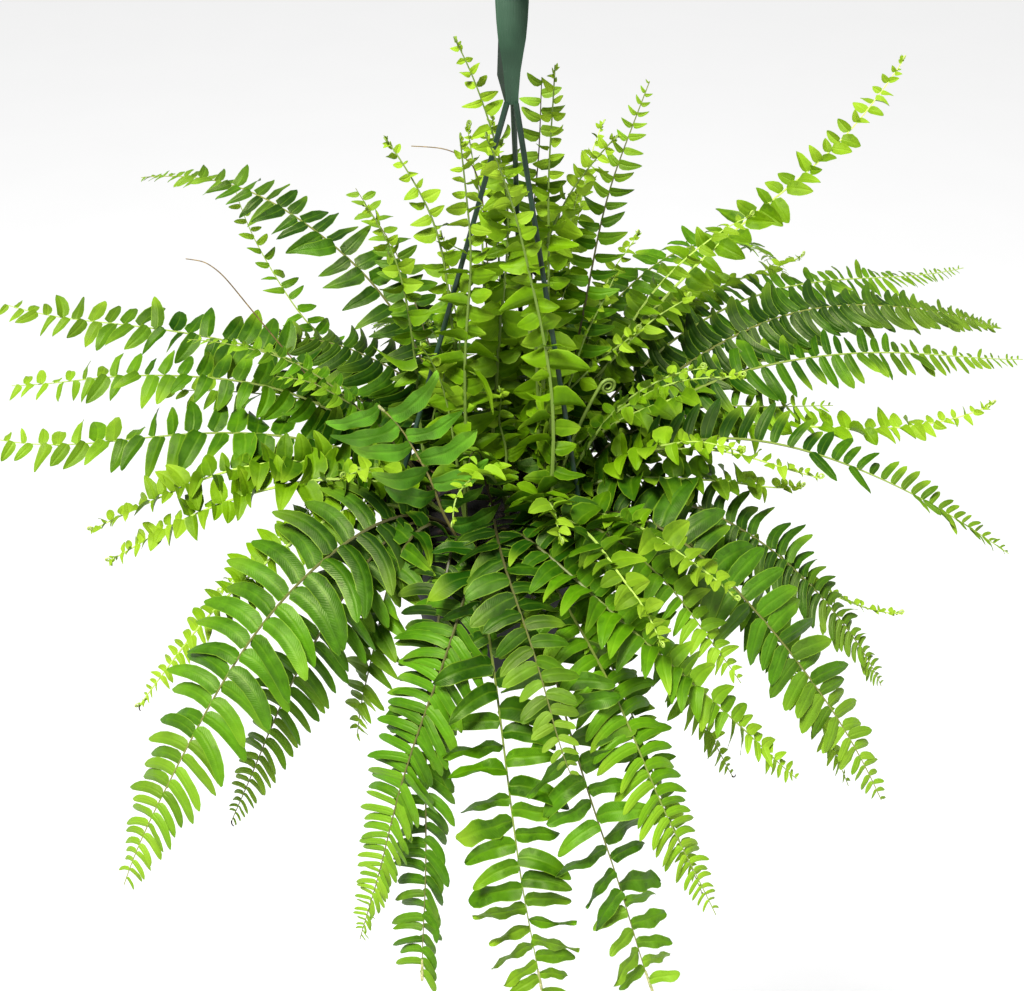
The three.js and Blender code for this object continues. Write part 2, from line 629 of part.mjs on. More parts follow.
const strandParts = STRANDS.map((azimuth) => strand(azimuth));
const hook = geometryOf(solid(strap()).add(solid(wing())));
const potPart = pot();
const obstacles = [
  ...strandParts.map((geometry) => obstacle("hanger", solid(geometry))),
  obstacle("hanger", solid(hook)),
  obstacle("pot", solid(potPart)),
  ...croziers.map(({ host, made }) => obstacle(host.name, made)),
  ...[...fronds, ...sideFronds].map((frond) =>
    obstacle(frond.owner, solid(ribBand(frond, [...frond.rings.shares, 1]))),
  ),
];

add("pot", potPart, potPlastic);
add("soil", soil(fronds.map(stemHole)), pottingSoil);
add("hanger_hook", hook, hangerPlastic);
strandParts.forEach((geometry, i) => add(`hanger_strand_${i + 1}`, geometry, hangerPlastic));
for (const frond of fronds) {
  const blade = frondGeometry(frond, obstacles);
  const sides = sideFronds.filter(({ name }) => name === frond.name);
  const grownOn = [
    ...sides.map((side) => solid(frondGeometry(side, obstacles))),
    ...croziers.filter(({ host }) => host === frond).map(({ made }) => made),
  ];
  const joined = () => geometryOf(grownOn.reduce((made, other) => made.add(other), solid(blade)));
  add(`frond_${frond.name}`, grownOn.length ? joined() : blade, leafGreen[frond.kind]);
}

plant.position.set(-NECK_X, 0, -HANG_Z);
const part = new THREE.Group();
part.add(plant);
export default part;
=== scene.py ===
"""Looks for a sword fern in a hanging pot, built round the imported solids.

Metres, +Z up. The origin is the inside top of the hook. Lengths in the named values and in the
frond table are millimetres, measured from the centre of the pot's rim as the solids are.
"""

import zlib
from math import cos, pi, radians, sin

import bpy
import numpy as np
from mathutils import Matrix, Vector


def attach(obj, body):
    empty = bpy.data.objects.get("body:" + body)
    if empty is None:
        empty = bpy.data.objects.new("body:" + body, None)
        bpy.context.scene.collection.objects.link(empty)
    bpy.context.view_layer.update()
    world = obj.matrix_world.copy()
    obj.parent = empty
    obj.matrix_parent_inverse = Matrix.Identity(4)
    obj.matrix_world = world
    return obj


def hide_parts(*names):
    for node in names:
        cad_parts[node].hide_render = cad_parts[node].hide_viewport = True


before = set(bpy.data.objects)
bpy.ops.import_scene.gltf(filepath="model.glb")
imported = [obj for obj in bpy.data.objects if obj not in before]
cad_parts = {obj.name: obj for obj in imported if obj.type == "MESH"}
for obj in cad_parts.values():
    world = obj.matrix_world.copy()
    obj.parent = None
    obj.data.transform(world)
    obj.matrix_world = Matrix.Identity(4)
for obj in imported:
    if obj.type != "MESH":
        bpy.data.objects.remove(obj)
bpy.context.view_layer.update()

MM = 0.001

# --- sizes, in millimetres ---

RIM_R, WALL_TOP_R, WALL_FOOT_R = 83, 74, 56
POT_H, WALL, RIM_SKIRT, FOOT_STEP = 115, 1.8, 9, 3
DRAIN_R, DRAIN_RING_R, DRAINS = 4.3, 36, 6
SOIL_DROP, SOIL_EDGE, SOIL_FLAT_R, ROOT_DEPTH = 8, 3, 60, 8
STRANDS = (197, 317, 77)  # their azimuths
STRAND_RING_R, STRAND_R, STRAND_PLAY = 77, 1.6, 0.35
BARB_GAP, BARB_R, BARB_TIP_R, BARB_H = 1.05, 2.3, 1.4, 3
NECK_Z, NECK_R, NECK_X = 277, 3.4, 8
HOOK_STEM, HOOK_R, HOOK_END_DEG = 70, 13, 200
STRAP_T, STRAP_NECK_W, STRAP_WIDE_W, STRAP_END_W = 3, 7.5, 19, 11
WING_W, WING_T, WING_TURN_DEG = 10, 1.4, 62
HANG_Z = NECK_Z + HOOK_STEM + HOOK_R

STEM_W, STEM_TIP_W = 2.8, 0.66
SIDE_THICK, YOUNG_THICK = 0.86, 1.3  # ribs of side fronds and young ribs, against the others
RISE_HANDLE, HANGING_RISE_HANDLE, HANGING_RISE_LEAST, HANGING_BELOW = 0.46, 0.41, 110, -90
FALL_HANDLE = 0.36
BARE_STEM, SIDE_BARE_STEM = 34, 26
LEAF_T, LEAF_LEAST = 0.4, 2.8
RIB_WOBBLE = 1.3

# Every frond: its stem's azimuth, distance from the pot's axis and rise; its tip's azimuth,
# reach, height over the rim and fall; the blade's roll, longest leaflet and leaflet spacing; its
# tone from dark to bright; and the habit of its leaflets.
FRONDS = [
    #                            stem          tip                 blade
    # name           kind        az   r rise   az reach    z fall  roll leaf  gap  tone  habit
    ("upright_1",    "young",   120, 13, 88,  141,  32,  308, -60,  -40, 22, 15.5, 0.65, "perky"),
    ("upright_2",    "mature",   60, 30, 84,   70,  78,  268, -70,   20, 25, 12.5,  0.3, "oval"),
    ("upright_3",    "young",     8, 27, 88,   42,  45,  288, -80,   45, 20, 15.5,  0.7, "perky"),
    ("upright_4",    "mid",      30, 36, 78,   41, 126,  262, -52,   40, 24,   15,  0.4, "wedge"),
    ("upright_5",    "young",    60, 13, 84,   16,  74,  250, -50,   65, 22, 15.5,  0.7, "perky"),
    ("upright_6",    "young",   -56, 58, 86,  -99,  40,  272, -66,    6, 20, 15.5, 0.75, "perky"),
    ("upright_7",    "young",  -135, 33, 88, -131,  33,  266, -80,   35, 21, 15.5, 0.65, "perky"),
    ("upright_8",    "young",   148, 25, 80,  150,  80,  240, -48,  -60, 19, 15.5,  0.6, "perky"),
    ("upright_9",    "young",   156, 52, 78,  159,  90,  200, -56,  -60, 18, 15.5,  0.5, "perky"),
    ("back_left_1",  "mature",  127, 32, 66,  135, 414,  110,  18,  -14, 31,   18,  0.3, "wedge"),
    ("back_left_2",  "mid",     141, 28, 38,  129, 335,  112, -45,    0, 18,   17,  0.5, "oval"),
    ("left_comb",    "mature",  121, 45, 74,  149, 229,   60,   4,    0, 38,   11,  0.2, "comb"),
    ("left_1",       "mid",     149, 36, 46,  153, 436,   44,  -4,  -20, 30,   17, 0.26, "oval"),
    ("left_2",       "mid",     163, 42, 50,  161, 392,   12,  14,  -20, 26,   16, 0.45, "oval"),
    ("left_3",       "mid",     172, 34, 42,  169, 376,    0,  -2,  -20, 32,   17,  0.4, "oval"),
    ("left_4",       "young",  -179, 44, 52, -178, 283,  -22,  28,  -18, 23, 12.5, 0.45, "fresh"),
    ("left_5",       "young",  -170, 34, 48, -176, 272,  -42,  34,  -18, 23, 12.5, 0.66, "fresh"),
    ("front_left_1", "mature", -146, 36, 52, -146, 305, -200,  64,  -24, 50,   15, 0.56, "strap"),
    ("front_left_2", "young",  -157, 42, 54, -162, 262, -120,  54,  -22, 24,   13, 0.75, "wedge"),
    ("front_left_3", "mature", -138, 42, 62, -149, 221, -200,  66,  -22, 36,   12,  0.5, "strap"),
    ("front_left_4", "mid",    -130, 46, 66, -138, 134, -142,  80,    0, 32,   13,  0.5, "wedge"),
    ("front_1",      "mature",  -94, 43, 56, -115, 220, -220,  70,    0, 37,  8.5, 0.68, "strip"),
    ("front_2",      "mature", -115, 43, 61, -104, 216, -250,  64,    0, 30, 11.5, 0.52, "hung"),
    ("front_3",      "mid",    -106, 46, 68,  -83, 226, -240,  72,    0, 40,   19, 0.46, "wavy"),
    ("front_4",      "mature",  -87, 43, 58,  -66, 247, -240,  62,    0, 38,   20, 0.52, "wavy"),
    ("front_5",      "mature", -100, 22, 64,  -78, 208,  -62,  52,    0, 33,   15, 0.26, "broad"),
    ("front_6",      "mid",     -79, 43, 58,  -54, 242, -200,  60,    0, 35, 12.5,  0.7, "strap"),
    ("front_7",      "mid",     -71, 46, 64,  -50, 214, -216,  64,    0, 22, 12.5, 0.55, "wedge"),
    ("front_8",      "mid",     -94, 28, 56,  -40, 249, -110,  50,    0, 31, 12.5, 0.55, "wedge"),
    ("front_9",      "mid",     -64, 42, 66,  -37, 198, -150,  62,    0, 28,   13,  0.5, "wedge"),
    ("front_10",     "young",   -60, 26, 66,  -58, 184,    0,  48,    0, 24,   12, 0.34, "fresh"),
    ("front_11",     "young",   -50, 32, 64,  -38, 187,    2,  40,    0, 22,   12, 0.42, "fresh"),
    ("front_12",     "mature", -122, 46, 58, -139,  98,  112, -50, -112, 40,   21, 0.85, "glossy"),
    ("front_13",     "young",   -68, 12, 84, -104, 114,   58,  86,    0, 15,   14,  0.8, "fresh"),
    ("right_1",      "mature",  -28, 43, 54,  -25, 289, -170,  62,   30, 37, 15.5,  0.5, "broad"),
    ("right_2",      "mid",     -20, 41, 52,  -16, 264, -208,  68,   22, 29,   13, 0.55, "wedge"),
    ("right_3",      "mature",  -12, 43, 54,   -6, 280, -150,  66,   28, 32, 10.5, 0.25, "comb"),
    ("right_4",      "young",    -4, 39, 54,    1, 294, -110,   8,    0, 14,    9, 0.65, "fresh"),
    ("right_5",      "mid",       4, 43, 52,    2, 366,  -60,  36,   20, 29,   13, 0.22, "onesided"),
    ("right_6",      "young",    13, 34, 42,   18, 392,    0, -14,   16, 22,   17,  0.7, "fresh"),
    ("right_7",      "mid",      21, 42, 47,   21, 429,   20,  12,   20, 30,   14,  0.3, "lance"),
    ("right_8",      "mature",   30, 48, 50,   30, 474,    2,  26,   18, 36, 11.5, 0.15, "comb"),
    ("right_9",      "mid",      39, 42, 52,   38, 500,   22,   8,   18, 26, 13.5, 0.35, "lance"),
    ("right_10",     "young",   -20, 28, 62,    2, 209,    2,  12,    0, 22,   12, 0.36, "fresh"),
    ("right_11",     "young",    16, 20, 60,   27, 222,   54, -10,    0, 24,   13, 0.55, "fresh"),
    ("back_right_1", "young",    42, 26, 56,   43, 424,  208, -40,   20, 24,   20, 0.55, "fresh"),
    ("back_right_2", "mid",      60, 46, 76,   53, 414,    0,  52,    0, 28,   15, 0.45, "wedge"),
    ("back_right_3", "young",    48, 46, 52,   46, 350,   60,   4,    0, 22,   14, 0.55, "fresh"),
    ("back_right_4", "mature",   68, 36, 62,   43, 200,   80,  10,    0, 34,   11, 0.15, "comb"),
    ("back_1",       "mature",   85, 44, 58,   72, 262,    6,  44,    0, 38,   13, 0.15, "strap"),
    ("back_2",       "mature",   99, 43, 54,   94, 256,  -70,  62,    0, 40,   13, 0.15, "strap"),
    ("back_3",       "mid",     111, 44, 56,  112, 270,   -4,  40,    0, 36,   14,  0.2, "lance"),
    ("back_4",       "mature",  134, 43, 60,  134, 230, -150,  72,    0, 38,   13, 0.15, "strap"),
    ("back_5",       "mature",   54, 40, 60,   60, 232, -165,  72,    0, 38,   13, 0.15, "strap"),
]

# Shorter fronds that share the foot of another: the frond and how high up its stem they leave it,
# then the azimuth and rise they leave it at, and the rest as above.
SIDE_FRONDS = [
    # foot                 stem      tip               blade
    # frond         from   az rise   az reach   z fall roll leaf  gap  tone  habit
    ("right_10",     14,  -10, 66,   -7, 131, 110, -10,   0, 17, 12.5, 0.45, "fresh"),
    ("right_11",     14,    2, 60,   -1, 158,  96,   0,   0, 17, 12.5, 0.75, "fresh"),
    ("right_4",      16,  -12, 60,  -12, 160,  58,  14,   0, 20, 12.5,  0.8, "fresh"),
    ("back_right_3", 16,   56, 60,   55, 172, 130, -20,   0, 16, 12.5, 0.55, "fresh"),
    ("back_right_1", 16,   34, 52,   36, 218, 150,   0,   0, 18,   13, 0.55, "oval"),
    ("back_left_1",  16,  120, 60,  121, 206, 150, -20,   0, 20,   13, 0.35, "oval"),
    ("left_2",       16,  168, 60,  164, 224,  88,  10,   0, 19,   13,  0.5, "wedge"),
    ("left_5",       16, -168, 58, -171, 196, -60,  44,   0, 18, 12.5,  0.8, "fresh"),
    ("left_3",       16,  176, 60,  173, 150,  84,   0,   0, 21,   13, 0.55, "wedge"),
    ("left_4",       16, -150, 70, -153, 112,  50,  10,   0, 20, 12.5, 0.75, "fresh"),
    ("front_10",     14,  -68, 74,  -70, 112,  40,  50,   0, 20, 12.5, 0.45, "fresh"),
    ("front_11",     14,  -46, 70,  -46,  98,  12,  62,   0, 20, 12.5, 0.45, "fresh"),
    ("front_5",      14, -112, 78, -108,  62,  66,  30,   0, 24,   13,  0.5, "wedge"),
    ("upright_9",    16,  158, 84,  160,  50, 124, -50,   0, 18, 13.5,  0.5, "perky"),
    ("upright_5",    14,   20, 78,   21, 100, 110, -34,   0, 18, 13.5,  0.7, "perky"),
    ("back_right_1", 24,   26, 64,   31, 152, 112, -10,   0, 18,   13, 0.55, "oval"),
    ("right_6",      18,   -4, 52,   -3, 216,  22,  18,   0, 16, 12.5,  0.7, "fresh"),
    ("upright_1",    14,  100, 84,  105,  80, 236, -60,  30, 16, 13.5, 0.65, "perky"),
    ("upright_5",    14,   92, 82,   93,  86, 238, -60, -20, 15, 13.5,  0.7, "perky"),
    ("upright_5",    16,   46, 76,   58,  98, 188, -50,  40, 16, 13.5,  0.7, "perky"),
    ("back_right_3", 16,   66, 78,   63, 154, 214, -45,  30, 17, 12.5, 0.55, "fresh"),
    ("upright_8",    14,  120, 78,  117,  86, 160, -50, -30, 15, 13.5,  0.6, "perky"),
    ("upright_5",    20,   42, 74,   44,  62, 140, -60,  50, 15, 13.5,  0.7, "perky"),
    ("upright_3",    18,   20, 80,   26,  84, 150, -60, -30, 16, 13.5,  0.7, "perky"),
    ("upright_3",    14,  -20, 84,  -12,  34, 118, -70,  20, 15, 13.5, 0.75, "perky"),
    ("upright_7",    14, -150, 80, -154,  54, 130, -60,  50, 21, 13.5, 0.65, "perky"),
    ("front_13",     14,  -90, 84,  -89,  18,  94, -60,  10, 14, 12.5,  0.8, "fresh"),
    ("right_10",     20,  -28, 78,  -26,  46,  92, -50,  30, 15, 12.5, 0.45, "fresh"),
    ("front_9",      20,  -40, 62,  -37, 196, -66,  50,  14, 29, 12.5,  0.6, "wedge"),
    ("left_2",       18,  158, 56,  157, 262,  24,   8, -20, 26,   15, 0.45, "oval"),
    ("right_7",      18,   14, 56,   17, 250,  28,   8,  18, 28,   14, 0.45, "lance"),
]

# Young coiled fronds on the foot of a frond: how high up that stem, the azimuth it leans to, how
# far out and how high it reaches.
CROZIERS = [
    ("right_10", 16, 20, 34, 92),
    ("upright_3", 14, -110, 14, 140),
]
PALE_RIBS = ("fern_front_12",)  # and glossy leaflets
DRY_TIPS = ("front_left_2", "front_left_3", "front_7", "front_9")
# Fronds whose tips are broken off, and the share of the blade that is left.
BROKEN_OFF = {"front_12": 0.5, "front_2": 0.74, "front_3": 0.82, "front_4": 0.82}


# --- shader maths ---


def maths(operation, swapped=False):
    """A method that puts a maths node on a socket."""

    def method(self, *others):
        inputs = (*others, self) if swapped else (self, *others)
        return self.tree.node("Math", {"operation": operation}, inputs)

    return method


class Sock:
    """One output of a shader tree, with the usual operators."""

    __add__ = __radd__ = maths("ADD")
    __sub__, __rsub__ = maths("SUBTRACT"), maths("SUBTRACT", swapped=True)
    __mul__, __pow__ = maths("MULTIPLY"), maths("POWER")
    abs, sine = maths("ABSOLUTE"), maths("SINE")

    def __init__(self, tree, out):
        self.tree, self.out = tree, out

    def step(self, low, high):
        """0 at low, 1 at high, smooth between them."""
        smooth = {"interpolation_type": "SMOOTHSTEP", "clamp": True}
        return self.tree.node("MapRange", smooth, [self, low, high, 0.0, 1.0])


class Finish:
    """A material and its tree of nodes."""

    def __init__(self, name):
        self.material = bpy.data.materials.new(name)
        self.material.use_nodes = True
        self.nodes, self.links = self.material.node_tree.nodes, self.material.node_tree.links
        self.nodes.clear()

    def node(self, kind, settings, inputs=(), out=0):
        made = self.nodes.new("ShaderNode" + kind)
        for name, value in settings.items():
            setattr(made, name, value)
        pairs = inputs.items() if isinstance(inputs, dict) else enumerate(inputs)
        for key, value in pairs:
            if isinstance(value, Sock):
                self.links.new(value.out, made.inputs[key])
            else:
                made.inputs[key].default_value = value
        return Sock(self, made.outputs[out])

    def split(self, vector):
        made = self.node("SeparateXYZ", {}, [vector])
        return [Sock(self, socket) for socket in made.out.node.outputs]

    def place(self):
        return self.node("TexCoord", {}, out="Object")

    def uv(self, name):
        return self.split(self.node("UVMap", {"uv_map": name}))[:2]

    def noise(self, scale, detail=2.0, rough=0.5):
        inputs = {"Vector": self.place(), "Scale": scale, "Detail": detail, "Roughness": rough}
        return self.node("TexNoise", {}, inputs)

    def mix(self, share, low, high):
        """A colour between two colours."""
        return self.node("Mix", {"data_type": "RGBA"}, {0: share, 6: low, 7: high}, 2)

    def principled(self, height, strength, distance, **inputs):
        """A surface whose skin is bumped by a height."""
        bump = {"Strength": strength, "Distance": distance, "Height": height}
        named = {name.replace("_", " "): value for name, value in inputs.items()}
        return self.node("BsdfPrincipled", {}, {**named, "Normal": self.node("Bump", {}, bump)})

    def done(self, shader):
        end = self.nodes.new("ShaderNodeOutputMaterial")
        self.links.new(shader.out, end.inputs[0])
        return self.material

    def coated(self, colour, rough, *bump):
        return self.done(self.principled(*bump, Base_Color=colour, Roughness=rough))


def rgb(code):
    """A linear colour from a hex code, as a painter would write it."""
    parts = [int(code[i : i + 2], 16) / 255 for i in (0, 2, 4)]
    return (*[c / 12.92 if c <= 0.04045 else ((c + 0.055) / 1.055) ** 2.4 for c in parts], 1.0)


# --- finishes ---

LEAF_TONES = {  # dark, bright and growing greens; light let through; sheen; how yellow the ends are
    "mature": ("0f3201", "589408", "94bc2c", 0.08, 0.42, 0.3),
    "mid": ("154001", "629a05", "9ac02a", 0.11, 0.34, 0.6),
    "young": ("224c02", "74a005", "9ec02c", 0.13, 0.3, 0.45),
    "glossy": ("124408", "589a14", "94bc2c", 0.06, 0.85, 0.3),
}
SHEEN_TINT = "f2ffb0"
FOOT_PAINTED_SHADE = 0.62  # painted shade: how much darker leaflets are at a frond's foot, deep in the crown
SIDE_VEINS, VEIN_SLANT = 26, 3.2
RIB_TONES = {  # at the foot, in the middle and at the end
    "mature": ("2a2411", "606528", "9aa34c"),
    "mid": ("342c14", "788a32", "a9c25a"),
    "young": ("6d8632", "b0cc56", "c6dd70"),
    "pale": ("8b8448", "b9b06c", "c8c98a"),
}
SCUFFED = "8fa596"


def leaf_colour(leaf, uvs, off, greens, tips):
    """Colour and roughness: painted shade darkens leaflets at a frond's foot, in the crown; paler at ends,
    midribs and margins.
    """
    (along, _), (share, tone), (lot, lot2) = uvs
    dark, bright, growing = greens
    patch, mottle = leaf.noise(38.0, 3.0, 0.6), leaf.noise(170.0, 3.0, 0.65)
    shade = tone + (lot - 0.5) * 0.26 + (patch - 0.5) * 0.5 + (mottle - 0.5) * 0.35 + along * 0.12 - 0.06
    # painted shade: leaflets grow darker towards the frond's foot, where the crown shades them
    shade = shade - (1 - share.step(0.0, 0.45)) * FOOT_PAINTED_SHADE
    fresh = (share + (lot2 - 0.5) * 0.16).step(0.55, 1.02) * (0.3 + tone * 0.8)
    ends = along.step(0.45, 1.0) * lot2.step(0.3, 0.95) * tips
    midrib = (1 - off.step(0.02, 0.13)) * (1 - along) * 0.15
    colour = leaf.mix(shade.step(0.0, 1.0), dark, bright)
    for paler in (fresh, ends, midrib, off.step(0.86, 1.0) * 0.4):
        colour = leaf.mix(paler, colour, growing)
    return colour, 0.38 + patch * 0.14 + lot2 * 0.08


def leaf_relief(leaf, along, off):
    """A groove along the midrib, side veins, grain and a crinkled skin."""
    veins = ((along * SIDE_VEINS + off * VEIN_SLANT) * (2 * pi)).sine()
    veins = veins * off.step(0.02, 0.2) * (1 - off.step(0.86, 1.0))
    grain, crinkle = leaf.noise(900.0, 2.0), leaf.noise(120.0, 1.0)
    return off.step(0.0, 0.3) * 0.8 + veins * 0.09 + grain * 0.18 + crinkle * 2.2


def leaf_finish(kind):
    *codes, through, sheen, tips = LEAF_TONES[kind]
    greens = [rgb(code) for code in codes]
    leaf = Finish(kind + "_leaf")
    uvs = [leaf.uv(name) for name in ("leaf", "grow", "lot")]
    along, across = uvs[0]
    off = (across - 0.5).abs() * 2.0
    colour, rough = leaf_colour(leaf, uvs, off, greens, tips)
    shine = {"Specular_IOR_Level": sheen, "Specular_Tint": rgb(SHEEN_TINT)}
    bump = leaf_relief(leaf, along, off), 0.6, 0.0005
    surface = leaf.principled(*bump, Base_Color=colour, Roughness=rough, **shine)
    lit = [a * 0.6 + b * 0.4 for a, b in zip(greens[1], greens[2])]
    glow = leaf.node("BsdfTranslucent", {}, {"Color": lit})
    return leaf.done(leaf.node("MixShader", {}, [through, surface, glow]))


def stalk_finish(name, *codes):
    """A rib's finish: woody at the foot, paler further out."""
    foot, middle, end = [rgb(code) for code in codes]
    stalk = Finish(name)
    x, y, _ = stalk.split(stalk.place())
    x = x + NECK_X * MM
    reach = (x * x + y * y) ** 0.5
    fleck = stalk.noise(420.0, 3.0, 0.7)
    colour = stalk.mix((reach + (fleck - 0.5) * 0.03).step(0.04, 0.17), foot, middle)
    colour = stalk.mix(reach.step(0.15, 0.38), colour, end)
    colour = stalk.mix(fleck.step(0.6, 0.78) * 0.5, colour, foot)
    grooves = stalk.noise(1400.0, 2.0)
    return stalk.coated(colour, 0.42 + fleck * 0.2, grooves, 0.3, 0.0003)


def moulded_finish(name, low, high, rough, rib_pitch=0):
    """Satin moulded plastic: cloudy colour, fine orange peel and, on straps, lengthwise ribs."""
    plastic = Finish(name)
    cloud, peel = plastic.noise(22.0, 3.0, 0.55), plastic.noise(1500.0, 1.0)
    scuff = plastic.noise(260.0, 4.0, 0.75).step(0.62, 0.8)
    height = peel * 0.25
    if rib_pitch:
        across = plastic.split(plastic.place())[0]
        height = height + (across * (2 * pi / (rib_pitch * MM))).sine() * 0.5
    colour = plastic.mix(cloud.step(0.3, 0.7), rgb(low), rgb(high))
    colour = plastic.mix(scuff * 0.25, colour, rgb(SCUFFED))
    return plastic.coated(colour, rough + cloud * 0.1 + scuff * 0.12, height, 0.4, 0.0002)


def soil_finish():
    soil = Finish("potting_mix")
    lump = soil.noise(240.0, 5.0, 0.7)
    colour = soil.mix(lump.step(0.35, 0.7), rgb("040302"), rgb("17100b"))
    colour = soil.mix(soil.noise(900.0, 2.0).step(0.68, 0.76) * 0.3, colour, rgb("43362a"))
    return soil.coated(colour, 0.9 + lump * 0.08, lump, 0.8, 0.0015)


def plain_finish(name, low, high, scale, rough):
    plain = Finish(name)
    speck = plain.noise(scale, 3.0, 0.6)
    colour = plain.mix(speck.step(0.35, 0.7), rgb(low), rgb(high))
    return plain.coated(colour, rough + speck * 0.1, speck, 0.25, 0.0003)


leaf_green = {kind: leaf_finish(kind) for kind in LEAF_TONES}
stalk_wood = {kind: stalk_finish(kind + "_rib", *codes) for kind, codes in RIB_TONES.items()}
pot_plastic = moulded_finish("pot_plastic", "050906", "0a120c", 0.8)
strap_plastic = moulded_finish("strap_plastic", "1c3423", "2b4a34", 0.36, rib_pitch=1.6)
web_plastic = moulded_finish("web_plastic", "0c1a12", "16291d", 0.5)
strand_plastic = moulded_finish("strand_plastic", "152a1c", "243f2e", 0.36)
potting_mix = soil_finish()
bark = plain_finish("bark", "150d08", "35241a", 500.0, 0.8)
perlite = plain_finish("perlite", "8d887c", "bdb8ac", 700.0, 0.75)
runner_wood = plain_finish("runner", "5b4a2b", "93793f", 300.0, 0.6)
split_wood = plain_finish("split_wood", "8f9a4e", "cfc795", 500.0, 0.7)
withered = plain_finish("withered", "14110c", "3a2c1c", 400.0, 0.8)


# --- small helpers ---


def polar(degrees, r, z):
    """A point in metres from an azimuth, a distance from the pot's axis and a height over the rim."""
    return np.array([cos(radians(degrees)) * r - NECK_X, sin(radians(degrees)) * r, z - HANG_Z]) * MM


def heading(degrees, rise):
    """A unit vector from an azimuth and an angle above the horizontal."""
    level = cos(radians(rise))
    return np.array([cos(radians(degrees)) * level, sin(radians(degrees)) * level, sin(radians(rise))])


def unit(v):
    return v / np.linalg.norm(v, axis=-1, keepdims=True)


def begin():
    if bpy.context.object and bpy.context.object.mode != "OBJECT":
        bpy.ops.object.mode_set(mode="OBJECT")
    bpy.ops.object.select_all(action="DESELECT")


def chosen(piece, *others):
    """Selects these pieces alone and makes the first the active one."""
    begin()
    for one in (piece, *others):
        one.select_set(True)
    bpy.context.view_layer.objects.active = piece
    return piece


def added(name):
    """The object that an operator just added, named."""
    piece = bpy.context.object
    piece.name = piece.data.name = name
    return piece


def placed(name, data):
    """A new object in the scene."""
    piece = bpy.data.objects.new(name, data)
    bpy.context.collection.objects.link(piece)
    return piece


def meshed(name, points, faces, finish):
    """A piece from its points and faces."""
    data = bpy.data.meshes.new(name)
    data.from_pydata(points.tolist(), [], faces)
    data.materials.append(finish)
    return placed(name, data)


def taken(piece):
    """Takes a piece's points and faces, and removes it."""
    points = np.array([v.co for v in piece.data.vertices])
    faces = [list(p.vertices) for p in piece.data.polygons]
    bpy.data.objects.remove(piece)
    return points, faces


def select_all():
    bpy.ops.mesh.select_all(action="SELECT")


def edit():
    """Edit mode, with all of the active piece selected."""
    bpy.ops.object.mode_set(mode="EDIT")
    select_all()


def edited():
    """Ends edit mode, with the faces turned outward."""
    select_all()
    bpy.ops.mesh.normals_make_consistent(inside=False)
    bpy.ops.object.mode_set(mode="OBJECT")


def extrude(move):
    bpy.ops.mesh.extrude_region_move(TRANSFORM_OT_translate={"value": move})


def smoothed(piece, degrees=40):
    chosen(piece)
    bpy.ops.object.shade_smooth_by_angle(angle=radians(degrees))
    return piece


def joined(*pieces):
    first = chosen(*pieces)
    bpy.ops.object.join()
    return first


def finished(piece, slot, *nodes):
    """Rides on the plant and stands for its solids; its slot is not used."""
    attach(piece, "root")
    if nodes:
        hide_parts(*nodes)
    return piece


def tube(name, points, radii, finish, sides=1):
    """A round stalk through points, each with its radius, closed at both ends."""
    data = bpy.data.curves.new(name, "CURVE")
    data.dimensions, data.use_fill_caps = "3D", True
    data.bevel_depth, data.bevel_resolution, data.resolution_u = 1.0, sides, 1
    spline = data.splines.new("POLY")
    spline.points.add(len(points) - 1)
    for spot, at, radius in zip(spline.points, points, radii):
        spot.co, spot.radius = (*at, 1), radius
    chosen(placed(name, data))
    bpy.ops.object.convert(target="MESH")
    stalk = bpy.context.object
    stalk.data.materials.clear()
    stalk.data.materials.append(finish)
    while stalk.data.uv_layers:
        stalk.data.uv_layers.remove(stalk.data.uv_layers[0])
    return stalk


# --- leaflets ---

